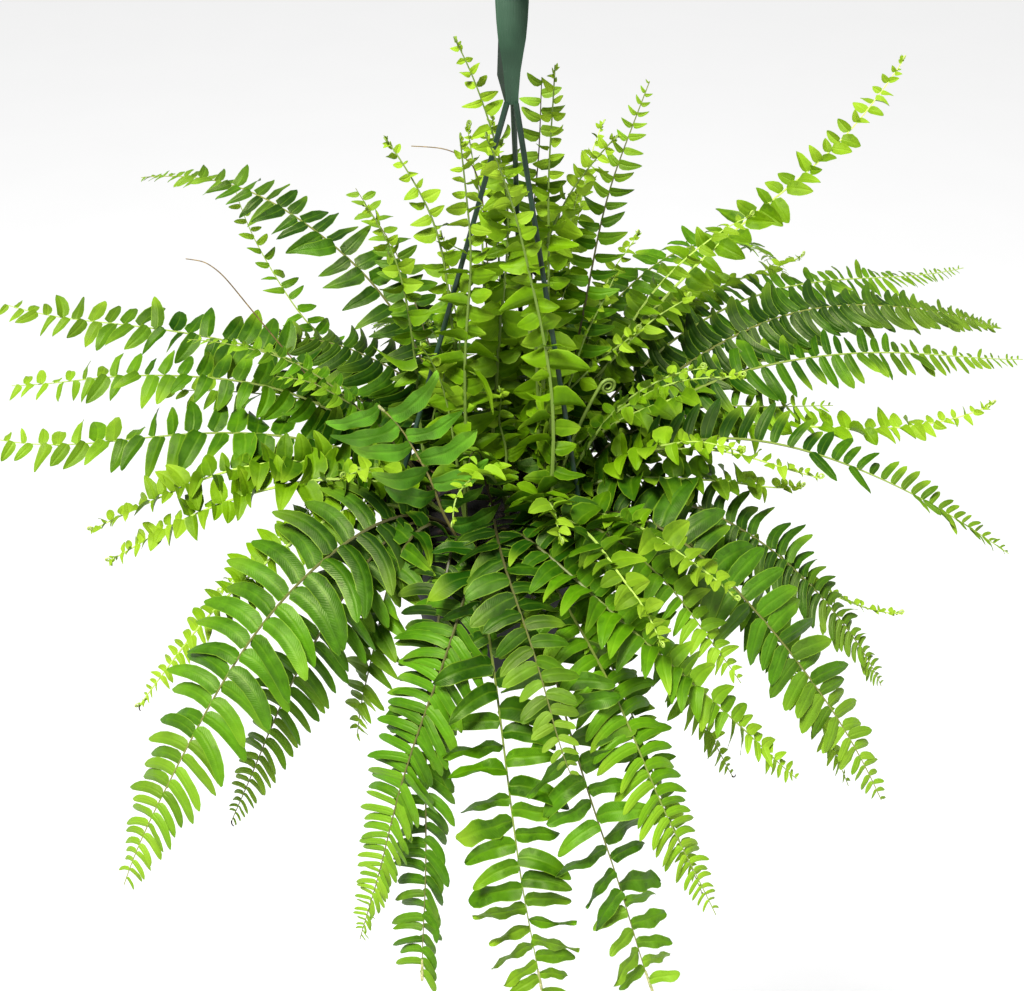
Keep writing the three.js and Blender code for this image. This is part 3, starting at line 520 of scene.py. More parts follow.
# Stations along a leaflet one unit long: distance, half width and how far its middle has bent
# towards the frond's tip.
LEAF_SHAPES = {
    "strap": [
        (0, 0.06, 0.03), (0.04, 0.118, 0.035), (0.15, 0.132, 0.002), (0.36, 0.127, -0.008),
        (0.56, 0.126, 0.018), (0.75, 0.114, 0.075), (0.9, 0.082, 0.14), (1, 0.02, 0.19),
    ],
    "strip": [
        (0, 0.045, 0.02), (0.04, 0.092, 0.022), (0.16, 0.1, 0), (0.4, 0.096, 0),
        (0.62, 0.094, 0.018), (0.8, 0.084, 0.06), (0.93, 0.056, 0.1), (1, 0.014, 0.13),
    ],
    "broad": [
        (0, 0.07, 0.02), (0.06, 0.16, 0.03), (0.22, 0.196, 0), (0.48, 0.2, 0),
        (0.72, 0.174, 0.022), (0.9, 0.114, 0.055), (1, 0.024, 0.085),
    ],
    "lance": [
        (0, 0.05, 0.02), (0.06, 0.115, 0.025), (0.22, 0.14, 0), (0.46, 0.145, 0),
        (0.7, 0.128, 0.022), (0.88, 0.086, 0.052), (1, 0.016, 0.075),
    ],
    "wavy": [
        (0, 0.07, 0.03), (0.05, 0.15, 0.03), (0.16, 0.174, 0), (0.28, 0.176, 0),
        (0.4, 0.17, 0.004), (0.52, 0.164, 0.014), (0.64, 0.155, 0.032), (0.76, 0.136, 0.06),
        (0.88, 0.1, 0.1), (0.96, 0.056, 0.13), (1, 0.016, 0.145),
    ],
    "wedge": [
        (0, 0.07, 0.045), (0.06, 0.195, 0.045), (0.22, 0.215, 0.01), (0.46, 0.182, 0),
        (0.72, 0.126, 0.028), (0.9, 0.066, 0.06), (1, 0.014, 0.085),
    ],
    "oval": [
        (0, 0.08, 0.05), (0.07, 0.2, 0.05), (0.26, 0.232, 0.01), (0.52, 0.212, 0),
        (0.77, 0.15, 0.022), (0.93, 0.072, 0.05), (1, 0.018, 0.065),
    ],
    "fresh": [
        (0, 0.08, 0.06), (0.07, 0.27, 0.055), (0.27, 0.315, 0.01), (0.53, 0.275, 0),
        (0.78, 0.178, 0.015), (0.94, 0.08, 0.035), (1, 0.018, 0.045),
    ],
}

# How leaflets sit and bend: lean towards the frond's tip at the blade's foot and at its end, and
# lift over the blade, in degrees; fold of the halves (below 0 they arch); sag of the outer end;
# droop under its weight; twist in degrees; wave of the margin; how unlike each other they are; the
# share that is missing; and the blade's taper.
TRAITS = "shape lean lift fold sag droop twist wave loose missing taper".split()
HABIT_ROWS = [
    ("strap",    "strap", (0, 34),   -4, -0.55, 0.12, 0.1,    7, 0.008, 0.55, 0,    1),
    ("strip",    "strip", (0, 26),   -6, -0.6,  0.16, 0.1,    6, 0.006, 0.8,  0,    1),
    ("hung",     "strap", (2, 34),   -6, -0.5,  0.16, 0.12,   8, 0.01,  0.9,  0.01, 0.96),
    ("broad",    "broad", (8, 34),   -2, -0.2,  0.1,  0.06,   4, 0.02,  0.9,  0.01, 1),
    ("onesided", "lance", (26, 46),  20, -0.3,  0.1,  0.06,   6, 0.012, 0.9,  0.01, 1),
    ("comb",     "strap", (0, 30),   -3, -0.4,  0.1,  0.08,  40, 0.008, 0.8,  0.01, 1),
    ("lance",    "lance", (6, 38),   -2, -0.45, 0.1,  0.08,  10, 0.012, 0.9,  0.01, 1),
    ("wavy",     "wavy",  (4, 30),    2, 0.25,  0.1,  0.06,   4, 0.06,  1.5,  0.01, 0.9),
    ("wedge",    "wedge", (4, 34),    2, 0.22,  0.1,  0.06,  10, 0.02,  1.1,  0.02, 1),
    ("oval",     "oval",  (2, 26),    3, 0.3,   0.12, 0.06,  14, 0.02,  1.5,  0.02, 0.85),
    ("fresh",    "fresh", (-2, 24),  12, 0.42,  0.12, 0.03,   8, 0.02,  2.1,  0.04, 0.97),
    ("glossy",   "wavy",  (-6, 12),   4, 0.12,  0.08, 0,      0, 0.05,  0.8,  0,    1),
    ("perky",    "fresh", (-4, 24),   8, 0.4,   0.16, 0.03,  -8, 0.03,  2.9,  0.05, 0.96),
]
HABITS = {name: dict(zip(TRAITS, values)) for name, *values in HABIT_ROWS}
# The degrees that one side's leaflets hang along the rib, the share that the other side has lost,
# and how far the leaflets crowd towards the tip, where it isn't as far as the blade tapers.
HANGING = {"strip": 38, "hung": 40, "glossy": 34}
THINNED = {"onesided": 0.8}
CROWDED = {"oval": 0.45}
MIDRIB = 0.2  # half width of the flat middle of a leaflet, of its own half width


def leaf_pattern(shape):
    """One leaflet, flat: a thin six-sided ring extruded from station to station."""
    stations = LEAF_SHAPES[shape]
    begin()
    bpy.ops.mesh.primitive_circle_add(vertices=6, radius=1, fill_type="NGON", rotation=(0, pi / 2, 0))
    pattern = added("leaflet_" + shape)
    bpy.ops.object.transform_apply(rotation=True)
    for v in pattern.data.vertices:
        inner = abs(v.co.y) < 0.9
        v.co = (0, np.sign(v.co.y) * (MIDRIB if inner else 1), np.sign(v.co.z) if inner else 0)
    edit()
    x, width, bend = stations[0]
    bpy.ops.transform.resize(value=(1, width, 1), center_override=(0, 0, 0))
    bpy.ops.transform.translate(value=(x, bend, 0))
    for x2, width2, bend2 in stations[1:]:
        extrude((x2 - x, bend2 - bend, 0))
        bpy.ops.transform.resize(value=(1, width2 / width, 1), center_override=(x2, bend2, 0))
        x, width, bend = x2, width2, bend2
    edited()
    points, faces = taken(pattern)
    xs, widths, bends = np.array(stations).T
    off = points[:, 1] - np.interp(points[:, 0], xs, bends)
    across = 0.5 + 0.5 * np.clip(off / np.interp(points[:, 0], xs, widths), -1, 1)
    return {"points": points, "faces": faces, "across": across, "off": off}


patterns = {shape: leaf_pattern(shape) for shape in LEAF_SHAPES}


def bent_leaflet(pattern, habit, rng):
    """One leaflet a unit long, bent as its habit has it: along, across and high of each point."""
    x, y, _ = pattern["points"].T
    off, edge, loose = pattern["off"], np.abs(2 * pattern["across"] - 1), habit["loose"]
    fold = habit["fold"] * rng.normal(1, 0.3 * loose)
    high = 0.16 * x * (1 - x) - habit["sag"] * rng.normal(1, 0.5 * loose) * x**2
    high += fold * np.abs(off) if fold > 0 else fold * 3.5 * off**2
    high += off * np.sin(rng.normal(0, 0.4 * loose) * x)
    phase = np.where(off > 0, rng.uniform(0, 6), rng.uniform(0, 6))
    high += habit["wave"] * edge * np.sin(x * rng.uniform(8, 13) + phase)
    across = y * rng.normal(1, 0.05 * loose) + rng.normal(0, 0.035 * loose) * x**2
    return x, across, high


# --- fronds ---


class Rib:
    """The path of a frond's rib, as the solids have it, read by its share of the length."""

    def __init__(self, title, start, stem_az, rise, tip_az, reach, tip_z, fall, roll):
        tip = polar(tip_az, reach, tip_z)
        chord = np.linalg.norm(tip - start)
        turn = (tip_az - stem_az + 180) % 360 - 180
        handle = chord * RISE_HANDLE
        if tip_z < HANGING_BELOW:
            handle = max(chord * HANGING_RISE_HANDLE, HANGING_RISE_LEAST * MM)
        lift = start + heading(stem_az, rise) * handle
        drop = tip - heading(tip_az + turn, -fall) * chord * FALL_HANDLE
        t = np.linspace(0, 1, 241)[:, None]
        u = 1 - t
        self.path = u**3 * start + 3 * u * u * t * lift + 3 * u * t * t * drop + t**3 * tip
        self.rng = np.random.RandomState(zlib.crc32(title.encode()) % 2**31)
        self.side, self.roll = heading(tip_az + 90, 0), radians(roll)
        wobble = np.sin(t * self.rng.uniform(9, 15) + self.rng.uniform(0, 6)) * RIB_WOBBLE * MM
        self.path += wobble * self.side * np.clip(6 * t * (1 - t), 0, 1)
        steps = np.linalg.norm(np.diff(self.path, axis=0), axis=1)
        self.far = np.concatenate([[0], np.cumsum(steps)])
        self.length = self.far[-1]

    def at(self, share):
        far = np.asarray(share) * self.length
        return np.stack([np.interp(far, self.far, self.path[:, k]) for k in range(3)], -1)

    def frames(self, share):
        """Place, forward, left and up at shares of the length."""
        share = np.asarray(share)
        forward = unit(self.at(np.minimum(share + 0.004, 1)) - self.at(np.maximum(share - 0.004, 0)))
        left = unit(self.side - forward * (forward @ self.side)[..., None])
        up = np.cross(forward, left)
        left, up = left * cos(self.roll) + up * sin(self.roll), up * cos(self.roll) - left * sin(self.roll)
        return self.at(share), forward, left, up


def leaf_share(t):
    """Leaflet length along the blade, as a share of the longest."""
    return (0.8 + 0.2 * min(1, t / 0.2)) * (1 - 0.86 * t**2.6)


def leaf_spots(rib, gap, bare, crowd):
    """Shares of the length where leaflets grow, closer together towards the tip."""
    spots, far = [], bare
    while far < 0.985:
        spots.append(far)
        far += gap * MM / rib.length * (1 - 0.6 * (crowd * (far - bare) / (1 - bare)) ** 1.6)
    return spots


class Leaves:
    """Leaflets gathered into one mesh, with what their finish reads."""

    def __init__(self):
        self.points, self.faces, self.count = [], [], 0
        self.maps = {"leaf": [], "grow": [], "lot": []}

    def add(self, pattern, body, axes, foot, share, tone, rng, mirrored):
        along, across, high = body
        ax, ay, az, long = axes
        top = np.sign(pattern["points"][:, 2])
        flat = np.outer(along, ax) + np.outer(across, ay)
        self.points.append(foot + long * flat + np.outer(long * high + top * LEAF_T * MM / 2, az))
        order = -1 if mirrored else 1
        self.faces += [[self.count + k for k in face[::order]] for face in pattern["faces"]]
        self.count += len(along)
        self.maps["leaf"].append(np.stack([along, pattern["across"]], 1))
        self.maps["grow"].append(np.stack([np.full(len(along), share), tone - 0.07 * (1 - top)], 1))
        self.maps["lot"].append(np.tile((rng.rand(), rng.rand()), (len(along), 1)))

    def made(self, name, finish):
        piece = meshed(name, np.concatenate(self.points), self.faces, finish)
        corners = np.empty(len(piece.data.loops), dtype=np.int32)
        piece.data.loops.foreach_get("vertex_index", corners)
        for title, values in self.maps.items():
            layer = piece.data.uv_layers.new(name=title)
            layer.data.foreach_set("uv", np.concatenate(values)[corners].astype(np.float32).ravel())
        return piece


def leaf_axes(stand, side, lean, lift, twist, long):
    """The directions of a leaflet on a rib: outwards, towards the frond's tip and up."""
    _, forward, left, up = stand
    out = left * side
    flat = out * cos(lean) + forward * sin(lean)
    ax = flat * cos(lift) + up * sin(lift)
    ay = forward * cos(lean) - out * sin(lean)
    az = unit(np.cross(ay, ax) * side)
    return ax, ay * cos(twist) + az * sin(twist), az * cos(twist) - ay * sin(twist), long


def grow_leaflets(leaves, rib, bare, kept, leaf, gap, tone, manner):
    """Both sides of a blade, of which this share is kept, with leaflets of this manner."""
    habit, rng = HABITS[manner], rib.rng
    pattern, loose, taper = patterns[habit["shape"]], habit["loose"], habit["taper"]
    for side in (1, -1):
        half = gap * MM / rib.length * 0.24 * side
        for spot in leaf_spots(rib, gap, bare, kept * CROWDED.get(manner, taper)):
            share = float(np.clip(spot + half + rng.normal(0, 0.0012), 0.02, 0.996))
            t = float(np.clip((share - bare) / (1 - bare), 0, 1)) * kept
            missing = THINNED.get(manner, 0) if side < 0 and t < 0.7 else habit["missing"]
            if rng.rand() < (0.3 if t < 0.04 else missing):
                continue
            long = leaf * leaf_share(t * taper) * rng.normal(1, 0.03 + 0.05 * loose)
            lean = np.interp(t**2, (0, 1), habit["lean"]) + (HANGING.get(manner, 0) if side > 0 else 0)
            lean = radians(lean + rng.normal(0, 3 + 3 * loose))
            curled = max(0.0, t - 0.86) * 110 if habit["shape"] == "fresh" else 0
            lift = radians(habit["lift"] + rng.normal(0, 3 + 6 * loose) + curled)
            twist = radians(habit["twist"] + rng.normal(0, 4 + 9 * loose))
            stand = rib.frames(share)
            axes = leaf_axes(stand, side, lean, lift, twist, max(long, LEAF_LEAST) * MM)
            body = bent_leaflet(pattern, habit, rng)
            body[2][:] -= habit["droop"] * body[0] ** 2 * axes[2][2]
            foot = stand[0] + axes[0] * 0.5 * MM
            leaves.add(pattern, body, axes, foot, share * kept, tone, rng, side > 0)


def grow_buds(leaves, rib, tone):
    """Tiny leaflets still closed round the end of a growing frond."""
    pattern, rng = patterns["fresh"], rib.rng
    habit = {**HABITS["fresh"], "fold": 0.5, "sag": -0.3}
    for number in range(6):
        at, forward, left, up = rib.frames(0.976 + 0.0048 * number)
        a = rng.uniform(0, 2 * pi)
        stand = at, forward, left * cos(a) + up * sin(a), up * cos(a) - left * sin(a)
        lean, lift = radians(rng.normal(48, 12)), radians(rng.normal(4, 12))
        axes = leaf_axes(stand, 1, lean, lift, 0.0, rng.uniform(2.4, 4.0) * MM)
        leaves.add(pattern, bent_leaflet(pattern, habit, rng), axes, at, 1.0, tone, rng, True)


def rib_tube(title, kind, rib, thick):
    shares = np.concatenate([np.linspace(0, 0.9, 34), np.linspace(0.915, 1, 8)])
    thick *= YOUNG_THICK if kind == "young" else 1.0
    radii = [(STEM_W + (STEM_TIP_W - STEM_W) * s**0.7) / 2 * thick * MM for s in shares]
    wood = stalk_wood["pale" if title in PALE_RIBS else kind]
    return tube(title + "_rib", rib.at(shares), radii, wood)


def tip_coil(title, kind, rib):
    """The curled end of a frond that is still growing."""
    at, forward, _, up = rib.frames(1.0)
    turns, size = np.linspace(0, 3 * pi, 22), np.linspace(2.2, 0.7, 22) * MM
    centre = at + up * size[0]
    points = [centre + forward * r * sin(a) - up * r * cos(a) for a, r in zip(turns, size)]
    return tube(title + "_coil", points, np.linspace(0.5, 0.42, 22) * MM, stalk_wood[kind])


def dry_tip(title, rib):
    """A withered, hooked end."""
    at, forward, left, _ = rib.frames(1.0)
    points = [at + (forward * sin(a) + left * (1 - cos(a))) * 2.4 * MM for a in np.linspace(0, 2, 8)]
    return tube(title + "_dry", points, np.linspace(0.6, 0.35, 8) * MM, withered)


def broken_tip(title, rib):
    """The pale stub of a rib that has snapped off."""
    points = rib.at(np.array([0.955, 0.975, 0.99, 1.0]))
    return tube(title + "_stub", points, np.array([0.8, 1.0, 1.15, 0.95]) * MM, split_wood)


def crozier(title, rib, up_stem, lean, out, high):
    """A young frond, still rolled up at its top, on the foot of another."""
    foot = rib.at(up_stem * MM / rib.length)
    outward, upward = heading(lean, 0), np.array([0, 0, 1.0])
    knee = foot + (outward * out * 0.35 + upward * high * 0.6) * MM
    top = foot + (outward * out + upward * high) * MM
    t = np.linspace(0, 1, 14)[:, None]
    stem = (1 - t) ** 2 * foot + 2 * (1 - t) * t * knee + t * t * top
    ahead = unit(top - knee)
    inward = ahead @ upward * outward - ahead @ outward * upward
    turns, sizes = np.linspace(0.2, 3.6 * pi, 34), np.linspace(5.6, 1.6, 34) * MM
    centre = top + inward * sizes[0]
    coil = [centre - inward * r * cos(a) + ahead * r * sin(a) for a, r in zip(turns, sizes)]
    radii = np.concatenate([np.linspace(1.25, 1.1, 14), np.linspace(1.15, 0.75, 34)]) * MM
    return tube(title + "_crozier", [*stem, *coil], radii, stalk_wood["young"], 2)


def blade(leaves, title, kind, rib, bare, traits, thick=1.0, kept=1.0):
    """Adds a frond's leaflets to those of its piece, and returns its rib and what ends it."""
    grow_leaflets(leaves, rib, bare * MM / rib.length, kept, *traits)
    stalks = [rib_tube(title, kind, rib, thick)]
    if kind == "young":
        grow_buds(leaves, rib, traits[-2])
        stalks.append(tip_coil(title, kind, rib))
    return stalks


def side_fronds(leaves, name, kind, rib):
    """The shorter fronds on the foot of this one: their ribs and what ends them."""
    stalks = []
    for number, (foot, up_stem, *rest) in enumerate(SIDE_FRONDS):
        if foot == name:
            title = f"fern_{name}_side_{number}"
            side = Rib(title, rib.at(up_stem * MM / rib.length), *rest[:-4])
            stalks += blade(leaves, title, kind, side, SIDE_BARE_STEM, rest[-4:], SIDE_THICK)
    return stalks


def frond(name, kind, stem_az, stem_r, *rest):
    title, leaves = "fern_" + name, Leaves()
    rib = Rib(title, polar(stem_az, stem_r, -SOIL_DROP - ROOT_DEPTH), stem_az, *rest[:-4])
    stalks = blade(leaves, title, kind, rib, BARE_STEM, rest[-4:], kept=BROKEN_OFF.get(name, 1.0))
    stalks += side_fronds(leaves, name, kind, rib)
    stalks += [crozier(title, rib, *rest) for host, *rest in CROZIERS if host == name]
    if name in DRY_TIPS:
        stalks.append(dry_tip(title, rib))
    if name in BROKEN_OFF:
        stalks.append(broken_tip(title, rib))
    green = leaf_green["glossy" if title in PALE_RIBS else kind]
    piece = smoothed(joined(leaves.made(title, green), *stalks), 50)
    return finished(piece, kind + "_frond", "frond_" + name)


for row in FRONDS:
    frond(*row)


# --- hanger ---


def on_strand(azimuth, z):
    share = (NECK_Z - z) / NECK_Z
    top = polar(azimuth, NECK_R, NECK_Z) + (NECK_X * MM, 0, 0)
    return top * (1 - share) + polar(azimuth, STRAND_RING_R, 0) * share


def strand(number, azimuth):
    name, barb_top = f"strand_{number}", -WALL - BARB_GAP
    heights = [NECK_Z + 1.2, NECK_Z - 12, NECK_Z - 40, *np.linspace(NECK_Z - 60, barb_top - 1, 12)]
    radii = [STRAND_R * (1.12 if z > NECK_Z - 20 else 1) * MM for z in heights]
    cord = tube(name, [on_strand(azimuth, z) for z in heights], radii, strand_plastic, 3)
    ends = [on_strand(azimuth, z) for z in (barb_top, barb_top - BARB_H)]
    barb = tube(name + "_barb", ends, [BARB_R * MM, BARB_TIP_R * MM], strand_plastic, 3)
    return finished(smoothed(joined(cord, barb)), "hanger_plastic", "hanger_" + name)


for number, azimuth in enumerate(STRANDS, 1):
    strand(number, azimuth)

BEND_R, BEND_STEPS = HOOK_R + STRAP_T / 2, 28
STRAP_STEM = [  # place along the strap's stem, its turn and its width, from the neck up
    (0, NECK_Z, 0, STRAP_NECK_W),
    (0, NECK_Z + 6, 0, STRAP_NECK_W * 1.02),
    (0, NECK_Z + HOOK_STEM * 0.28, 0, STRAP_NECK_W * 1.3),
    (BEND_R * 0.05, NECK_Z + HOOK_STEM * 0.42, -6, STRAP_WIDE_W * 0.68),
    (BEND_R * 0.14, NECK_Z + HOOK_STEM * 0.54, -10, STRAP_WIDE_W * 0.84),
    (BEND_R * 0.36, NECK_Z + HOOK_STEM * 0.67, -17, STRAP_WIDE_W * 0.94),
    (BEND_R * 0.6, NECK_Z + HOOK_STEM * 0.8, -20, STRAP_WIDE_W),
    (BEND_R * 0.86, NECK_Z + HOOK_STEM * 0.91, -13, STRAP_WIDE_W),
]


def strap_bend():
    """The same, round the bend."""
    for i in range(BEND_STEPS + 1):
        turn = HOOK_END_DEG * i / BEND_STEPS
        y, z = BEND_R * cos(radians(turn)), BEND_R * sin(radians(turn))
        width = STRAP_WIDE_W + (STRAP_END_W - STRAP_WIDE_W) * i / BEND_STEPS
        yield y, NECK_Z + HOOK_STEM + z, turn, width


def strap():
    """The hook's flat strap: a moulded section with a raised rim, extruded from place to place."""
    (y, z, turn, width), *stations = *STRAP_STEM, *strap_bend()
    begin()
    bpy.ops.mesh.primitive_circle_add(vertices=20, radius=1, fill_type="NGON")
    piece = added("hook_strap")
    for v in piece.data.vertices:
        flat_x = np.sign(v.co.x) * min(1, abs(v.co.x) * 1.25)
        channel = 0.55 if abs(flat_x) < 0.72 else 1.0
        v.co = (flat_x * width / 2 * MM, np.sign(np.round(v.co.y, 5)) * channel * STRAP_T / 2 * MM, 0)
    edit()
    at = Vector((0, y, z - HANG_Z)) * MM
    bpy.ops.transform.translate(value=at)
    for y2, z2, turn2, width2 in stations:
        at2 = Vector((0, y2, z2 - HANG_Z)) * MM
        extrude(at2 - at)
        bpy.ops.transform.rotate(value=-radians(turn2 - turn), orient_axis="X", center_override=at2)
        bpy.ops.transform.resize(value=(width2 / width, 1, 1), center_override=at2)
        at, turn, width = at2, turn2, width2
    edited()
    piece.data.materials.append(strap_plastic)
    return piece


def web():
    """The web folded back beside the strap, with its slanted lower edge."""
    begin()
    bpy.ops.mesh.primitive_cube_add(size=1)
    piece = added("hook_web")
    edit()
    bpy.ops.mesh.subdivide(number_cuts=7)
    bpy.ops.object.mode_set(mode="OBJECT")
    turn = -radians(WING_TURN_DEG)
    strap_y, strap_z = np.array(STRAP_STEM)[:, :2].T
    for v in piece.data.vertices:
        out, up = 0.5 - v.co.x, v.co.z + 0.5
        a = -WING_W * out * (1 - 0.35 * up)
        rise = HOOK_STEM * (0.2 * out * (1 - up) + (0.96 - 0.1 * out) * up)
        deep = -WING_T if v.co.y < 0 else 0.0
        x, y = a * cos(turn) - deep * sin(turn), a * sin(turn) + deep * cos(turn)
        y += STRAP_T / 2 + np.interp(NECK_Z + rise, strap_z, strap_y)
        v.co = Vector((x + 1 - STRAP_NECK_W / 2, y, rise + NECK_Z - HANG_Z)) * MM
    chosen(piece)
    bevel = piece.modifiers.new("soft_edge", "BEVEL")
    bevel.width, bevel.segments = 0.5 * MM, 2
    bpy.ops.object.modifier_apply(modifier=bevel.name)
    edit()
    edited()
    piece.data.materials.append(web_plastic)
    return piece


finished(smoothed(joined(strap(), web()), 35), "hanger_plastic", "hanger_hook")


# --- pot and soil ---


def spun(name, profile, steps):
    """A round piece spun from its profile of distances from the axis and heights over the rim."""
    begin()
    bpy.ops.mesh.primitive_plane_add(size=1)
    piece = added(name)
    edit()
    bpy.ops.mesh.merge(type="CENTER")
    r, z = profile[0]
    bpy.ops.transform.translate(value=(r * MM, 0, (z - HANG_Z) * MM))
    for r2, z2 in profile[1:]:
        extrude(((r2 - r) * MM, 0, (z2 - z) * MM))
        r, z = r2, z2
    select_all()
    bpy.ops.mesh.spin(steps=steps, angle=2 * pi, center=(0, 0, 0), axis=(0, 0, 1))
    select_all()
    bpy.ops.mesh.remove_doubles(threshold=0.00002)
    bpy.ops.transform.translate(value=(-NECK_X * MM, 0, 0))
    edited()
    return piece


def drill(piece, at, radius, depth, turn=(0, 0, 0)):
    begin()
    size = {"vertices": 20, "radius": radius * MM, "depth": depth * MM}
    bpy.ops.mesh.primitive_cylinder_add(**size, location=at, rotation=turn)
    bit = added("drill")
    chosen(piece)
    cut = piece.modifiers.new("hole", "BOOLEAN")
    cut.object, cut.operation, cut.solver = bit, "DIFFERENCE", "EXACT"
    bpy.ops.object.modifier_apply(modifier=cut.name)
    bpy.data.objects.remove(bit)


def pot():
    top, foot, rim, floor = WALL_TOP_R, WALL_FOOT_R, RIM_R, FOOT_STEP - POT_H
    profile = [
        (0, floor), (foot - 6, floor), (foot - 5, -POT_H), (foot - 0.6, -POT_H), (foot, 0.8 - POT_H),
        ((top + foot) / 2, -POT_H / 2), (top - 0.3, -WALL - 1.2), (top + 0.8, -WALL),
        (rim - WALL, -WALL), (rim - WALL, -RIM_SKIRT), (rim - 0.3, -RIM_SKIRT),
        (rim, 0.8 - RIM_SKIRT), (rim, -1.4), (rim - 0.4, -0.4), (rim - 1.4, 0), (top - WALL + 0.8, 0),
        (top - WALL, -0.8), (foot - WALL, floor + WALL), (0, floor + WALL),
    ]
    piece = spun("pot_body", profile, 96)
    for i in range(DRAINS):
        drill(piece, polar(360 / DRAINS * i, DRAIN_RING_R, -POT_H + 4), DRAIN_R, 16)
    for azimuth in STRANDS:
        low, high = on_strand(azimuth, -10), on_strand(azimuth, 8)
        turn = Vector(high - low).to_track_quat("Z", "Y").to_euler()
        drill(piece, on_strand(azimuth, -1), STRAND_R + STRAND_PLAY, 18, turn)
    piece.data.materials.append(pot_plastic)
    return finished(smoothed(piece, 30), "pot_plastic", "pot")


def rough_ground(x, y):
    """Height of the soil's lumps, in metres."""
    lumps = np.sin(x * 310 + 1.3) * np.cos(y * 280 - 0.4) + 0.6 * np.sin(x * 730 + y * 610)
    return lumps * 0.7 * MM


def soil():
    floor = FOOT_STEP + WALL + 0.35 - POT_H
    slope = (WALL_TOP_R - WALL_FOOT_R) / (POT_H - FOOT_STEP - WALL)
    reach = WALL_TOP_R - WALL - 0.45
    low = -SOIL_DROP - SOIL_EDGE
    profile = [(0, floor), (reach + slope * floor, floor), (reach + slope * low, low)]
    profile += [(SOIL_FLAT_R, -SOIL_DROP - 0.6), *[(r, -SOIL_DROP - 1) for r in range(56, 0, -4)]]
    piece = spun("soil_bed", [*profile, (0, -SOIL_DROP - 1)], 72)
    for v in piece.data.vertices:
        off_axis = (v.co.xy + Vector((NECK_X * MM, 0))).length
        if v.co.z > (low - 0.5 - HANG_Z) * MM and off_axis < 66 * MM:
            v.co.z += rough_ground(v.co.x, v.co.y)
    piece.data.materials.append(potting_mix)
    return finished(smoothed(piece, 60), "potting_soil", "soil")


def chips(name, count, size, finish, seed):
    """Loose bits lying on the soil, each a dented lump."""
    rng = np.random.RandomState(seed)
    begin()
    bpy.ops.mesh.primitive_ico_sphere_add(subdivisions=1, radius=1)
    lump_points, lump_faces = taken(added(name + "_lump"))
    points, faces = [], []
    for _ in range(count):
        r, a = 64 * rng.rand() ** 0.5, rng.rand() * 360
        at = polar(a, r, -SOIL_DROP - 0.4)
        dented = lump_points * rng.uniform(0.6, 1.25, (len(lump_points), 1))
        shape = dented * size * rng.uniform(0.5, 1.2, 3) * MM
        turn = rng.rand() * 2 * pi
        spin = np.array([[cos(turn), -sin(turn), 0], [sin(turn), cos(turn), 0], [0, 0, 0.6]])
        first = len(points) * len(lump_points)
        points.append(shape @ spin.T + at)
        faces += [[first + k for k in face] for face in lump_faces]
    return finished(meshed(name, np.concatenate(points), faces, finish), "potting_soil")


pot()
soil()
chips("bark_chips", 150, 2.6, bark, 5)
chips("perlite_bits", 24, 1.3, perlite, 9)

# Thin bare runners that a fern sends out of its crown: azimuth, distance and height over the rim
# of each point.
RUNNERS = [
    [(150, 40, -6), (157, 76, 20), (157, 139, 52), (163, 176, 118), (164, 191, 142), (164, 203, 150),
     (164, 217, 150)],
    [(110, 30, -6), (96, 66, 60), (97, 68, 150), (104, 46, 206), (118, 36, 230), (136, 46, 238),
     (142, 69, 235)],
]


def runner(number, spots):
    points = np.array([polar(*spot) for spot in spots])
    t = np.linspace(0, len(spots) - 1, 48)
    line = np.stack([np.interp(t, range(len(spots)), points[:, k]) for k in range(3)], 1)
    for _ in range(10):
        line[1:-1] = (line[:-2] + line[1:-1] * 2 + line[2:]) / 4
    piece = tube(f"runner_{number}", line, np.linspace(0.6, 0.32, 48) * MM, runner_wood)
    return finished(smoothed(piece), "mature_frond")


for number, spots in enumerate(RUNNERS, 1):
    runner(number, spots)


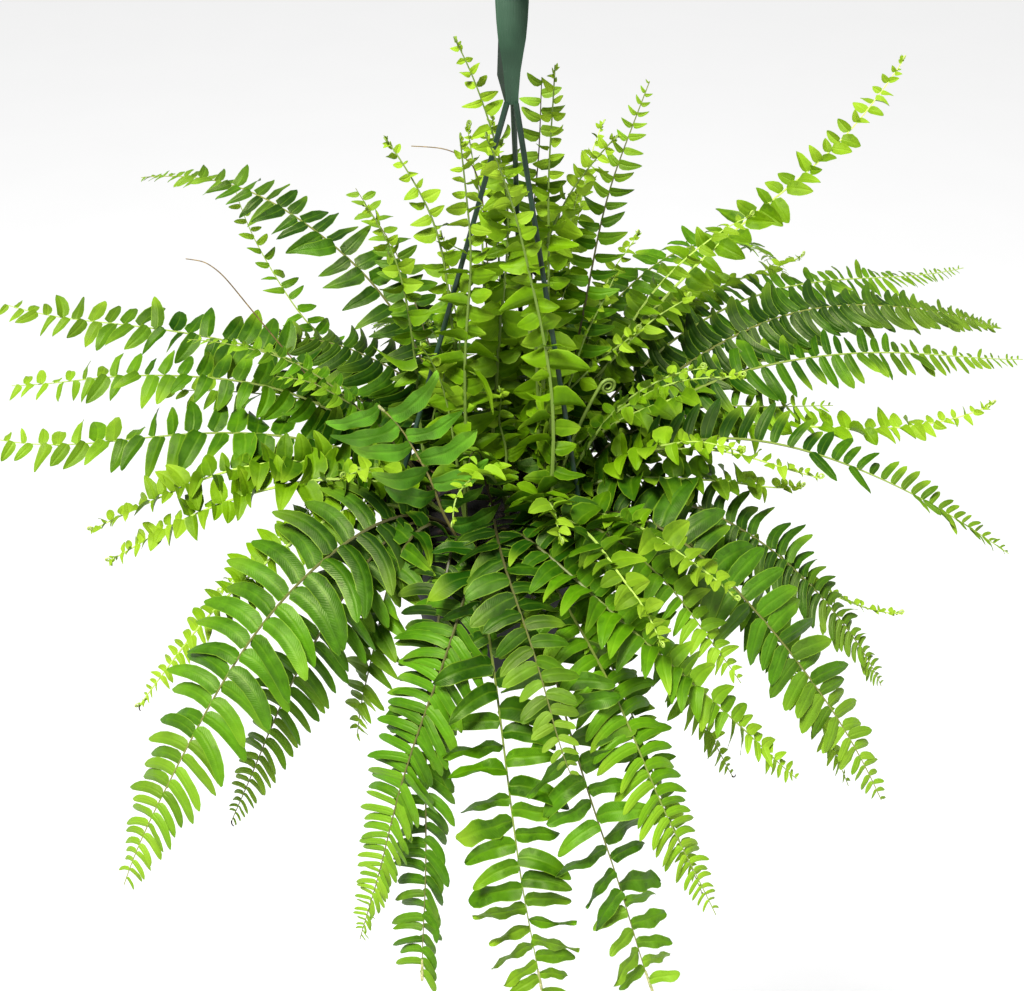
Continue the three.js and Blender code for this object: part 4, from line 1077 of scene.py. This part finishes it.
# --- floor, light and camera ---

FLOOR_Z, FLOOR_R = -2.0, 9
CAMERA_RISE, CAMERA_AWAY, CAMERA_LENS = 35, 1.0, 50.98  # degrees, metres and millimetres
CAMERA_AIM = Vector((0, 0, -0.36))
WHITE = (1.0, 1.0, 1.0, 1.0)


def floor():
    begin()
    disc = {"vertices": 96, "radius": FLOOR_R, "fill_type": "NGON"}
    bpy.ops.mesh.primitive_circle_add(**disc, location=(0, 0, FLOOR_Z))
    ground = added("floor")
    paper = Finish("floor_paper")
    tint = paper.mix(paper.noise(3.0, 2.0), rgb("c4c4c4"), rgb("cacaca"))
    look = {"Base Color": tint, "Roughness": 0.9, "Emission Color": WHITE, "Emission Strength": 0.62}
    ground.data.materials.append(paper.done(paper.node("BsdfPrincipled", {}, look)))


def lamp(name, at, aim, size, power):
    data = bpy.data.lights.new(name, "AREA")
    data.shape, data.size, data.energy = "DISK", size, power
    light = placed(name, data)
    light.location = at
    light.rotation_euler = (Vector(aim) - Vector(at)).to_track_quat("-Z", "Y").to_euler()


def camera():
    """At the photograph's viewing angle: from the front and above."""
    data = bpy.data.cameras.new("camera")
    data.lens, data.sensor_width, data.sensor_fit = CAMERA_LENS, 36, "HORIZONTAL"
    data.clip_start, data.clip_end = 0.05, 50
    eye = placed("camera", data)
    rise = radians(CAMERA_RISE)
    eye.location = CAMERA_AIM + Vector((0, -cos(rise), sin(rise))) * CAMERA_AWAY
    eye.rotation_euler = (radians(90) - rise, 0, 0)
    bpy.context.scene.camera = eye


def sky():
    world = bpy.data.worlds.new("studio")
    world.use_nodes = True
    background = world.node_tree.nodes["Background"]
    background.inputs[0].default_value = WHITE
    background.inputs[1].default_value = 0.3
    bpy.context.scene.world = world


floor()
sky()
lamp("key", (-1.1, -1.5, 3.3), (0, 0, -0.3), 1.4, 330)
lamp("fill", (2.4, -2.0, 1.6), (0, 0, -0.4), 2.4, 40)
camera()
view = bpy.context.scene.view_settings
view.view_transform, view.exposure = "Standard", 0.0
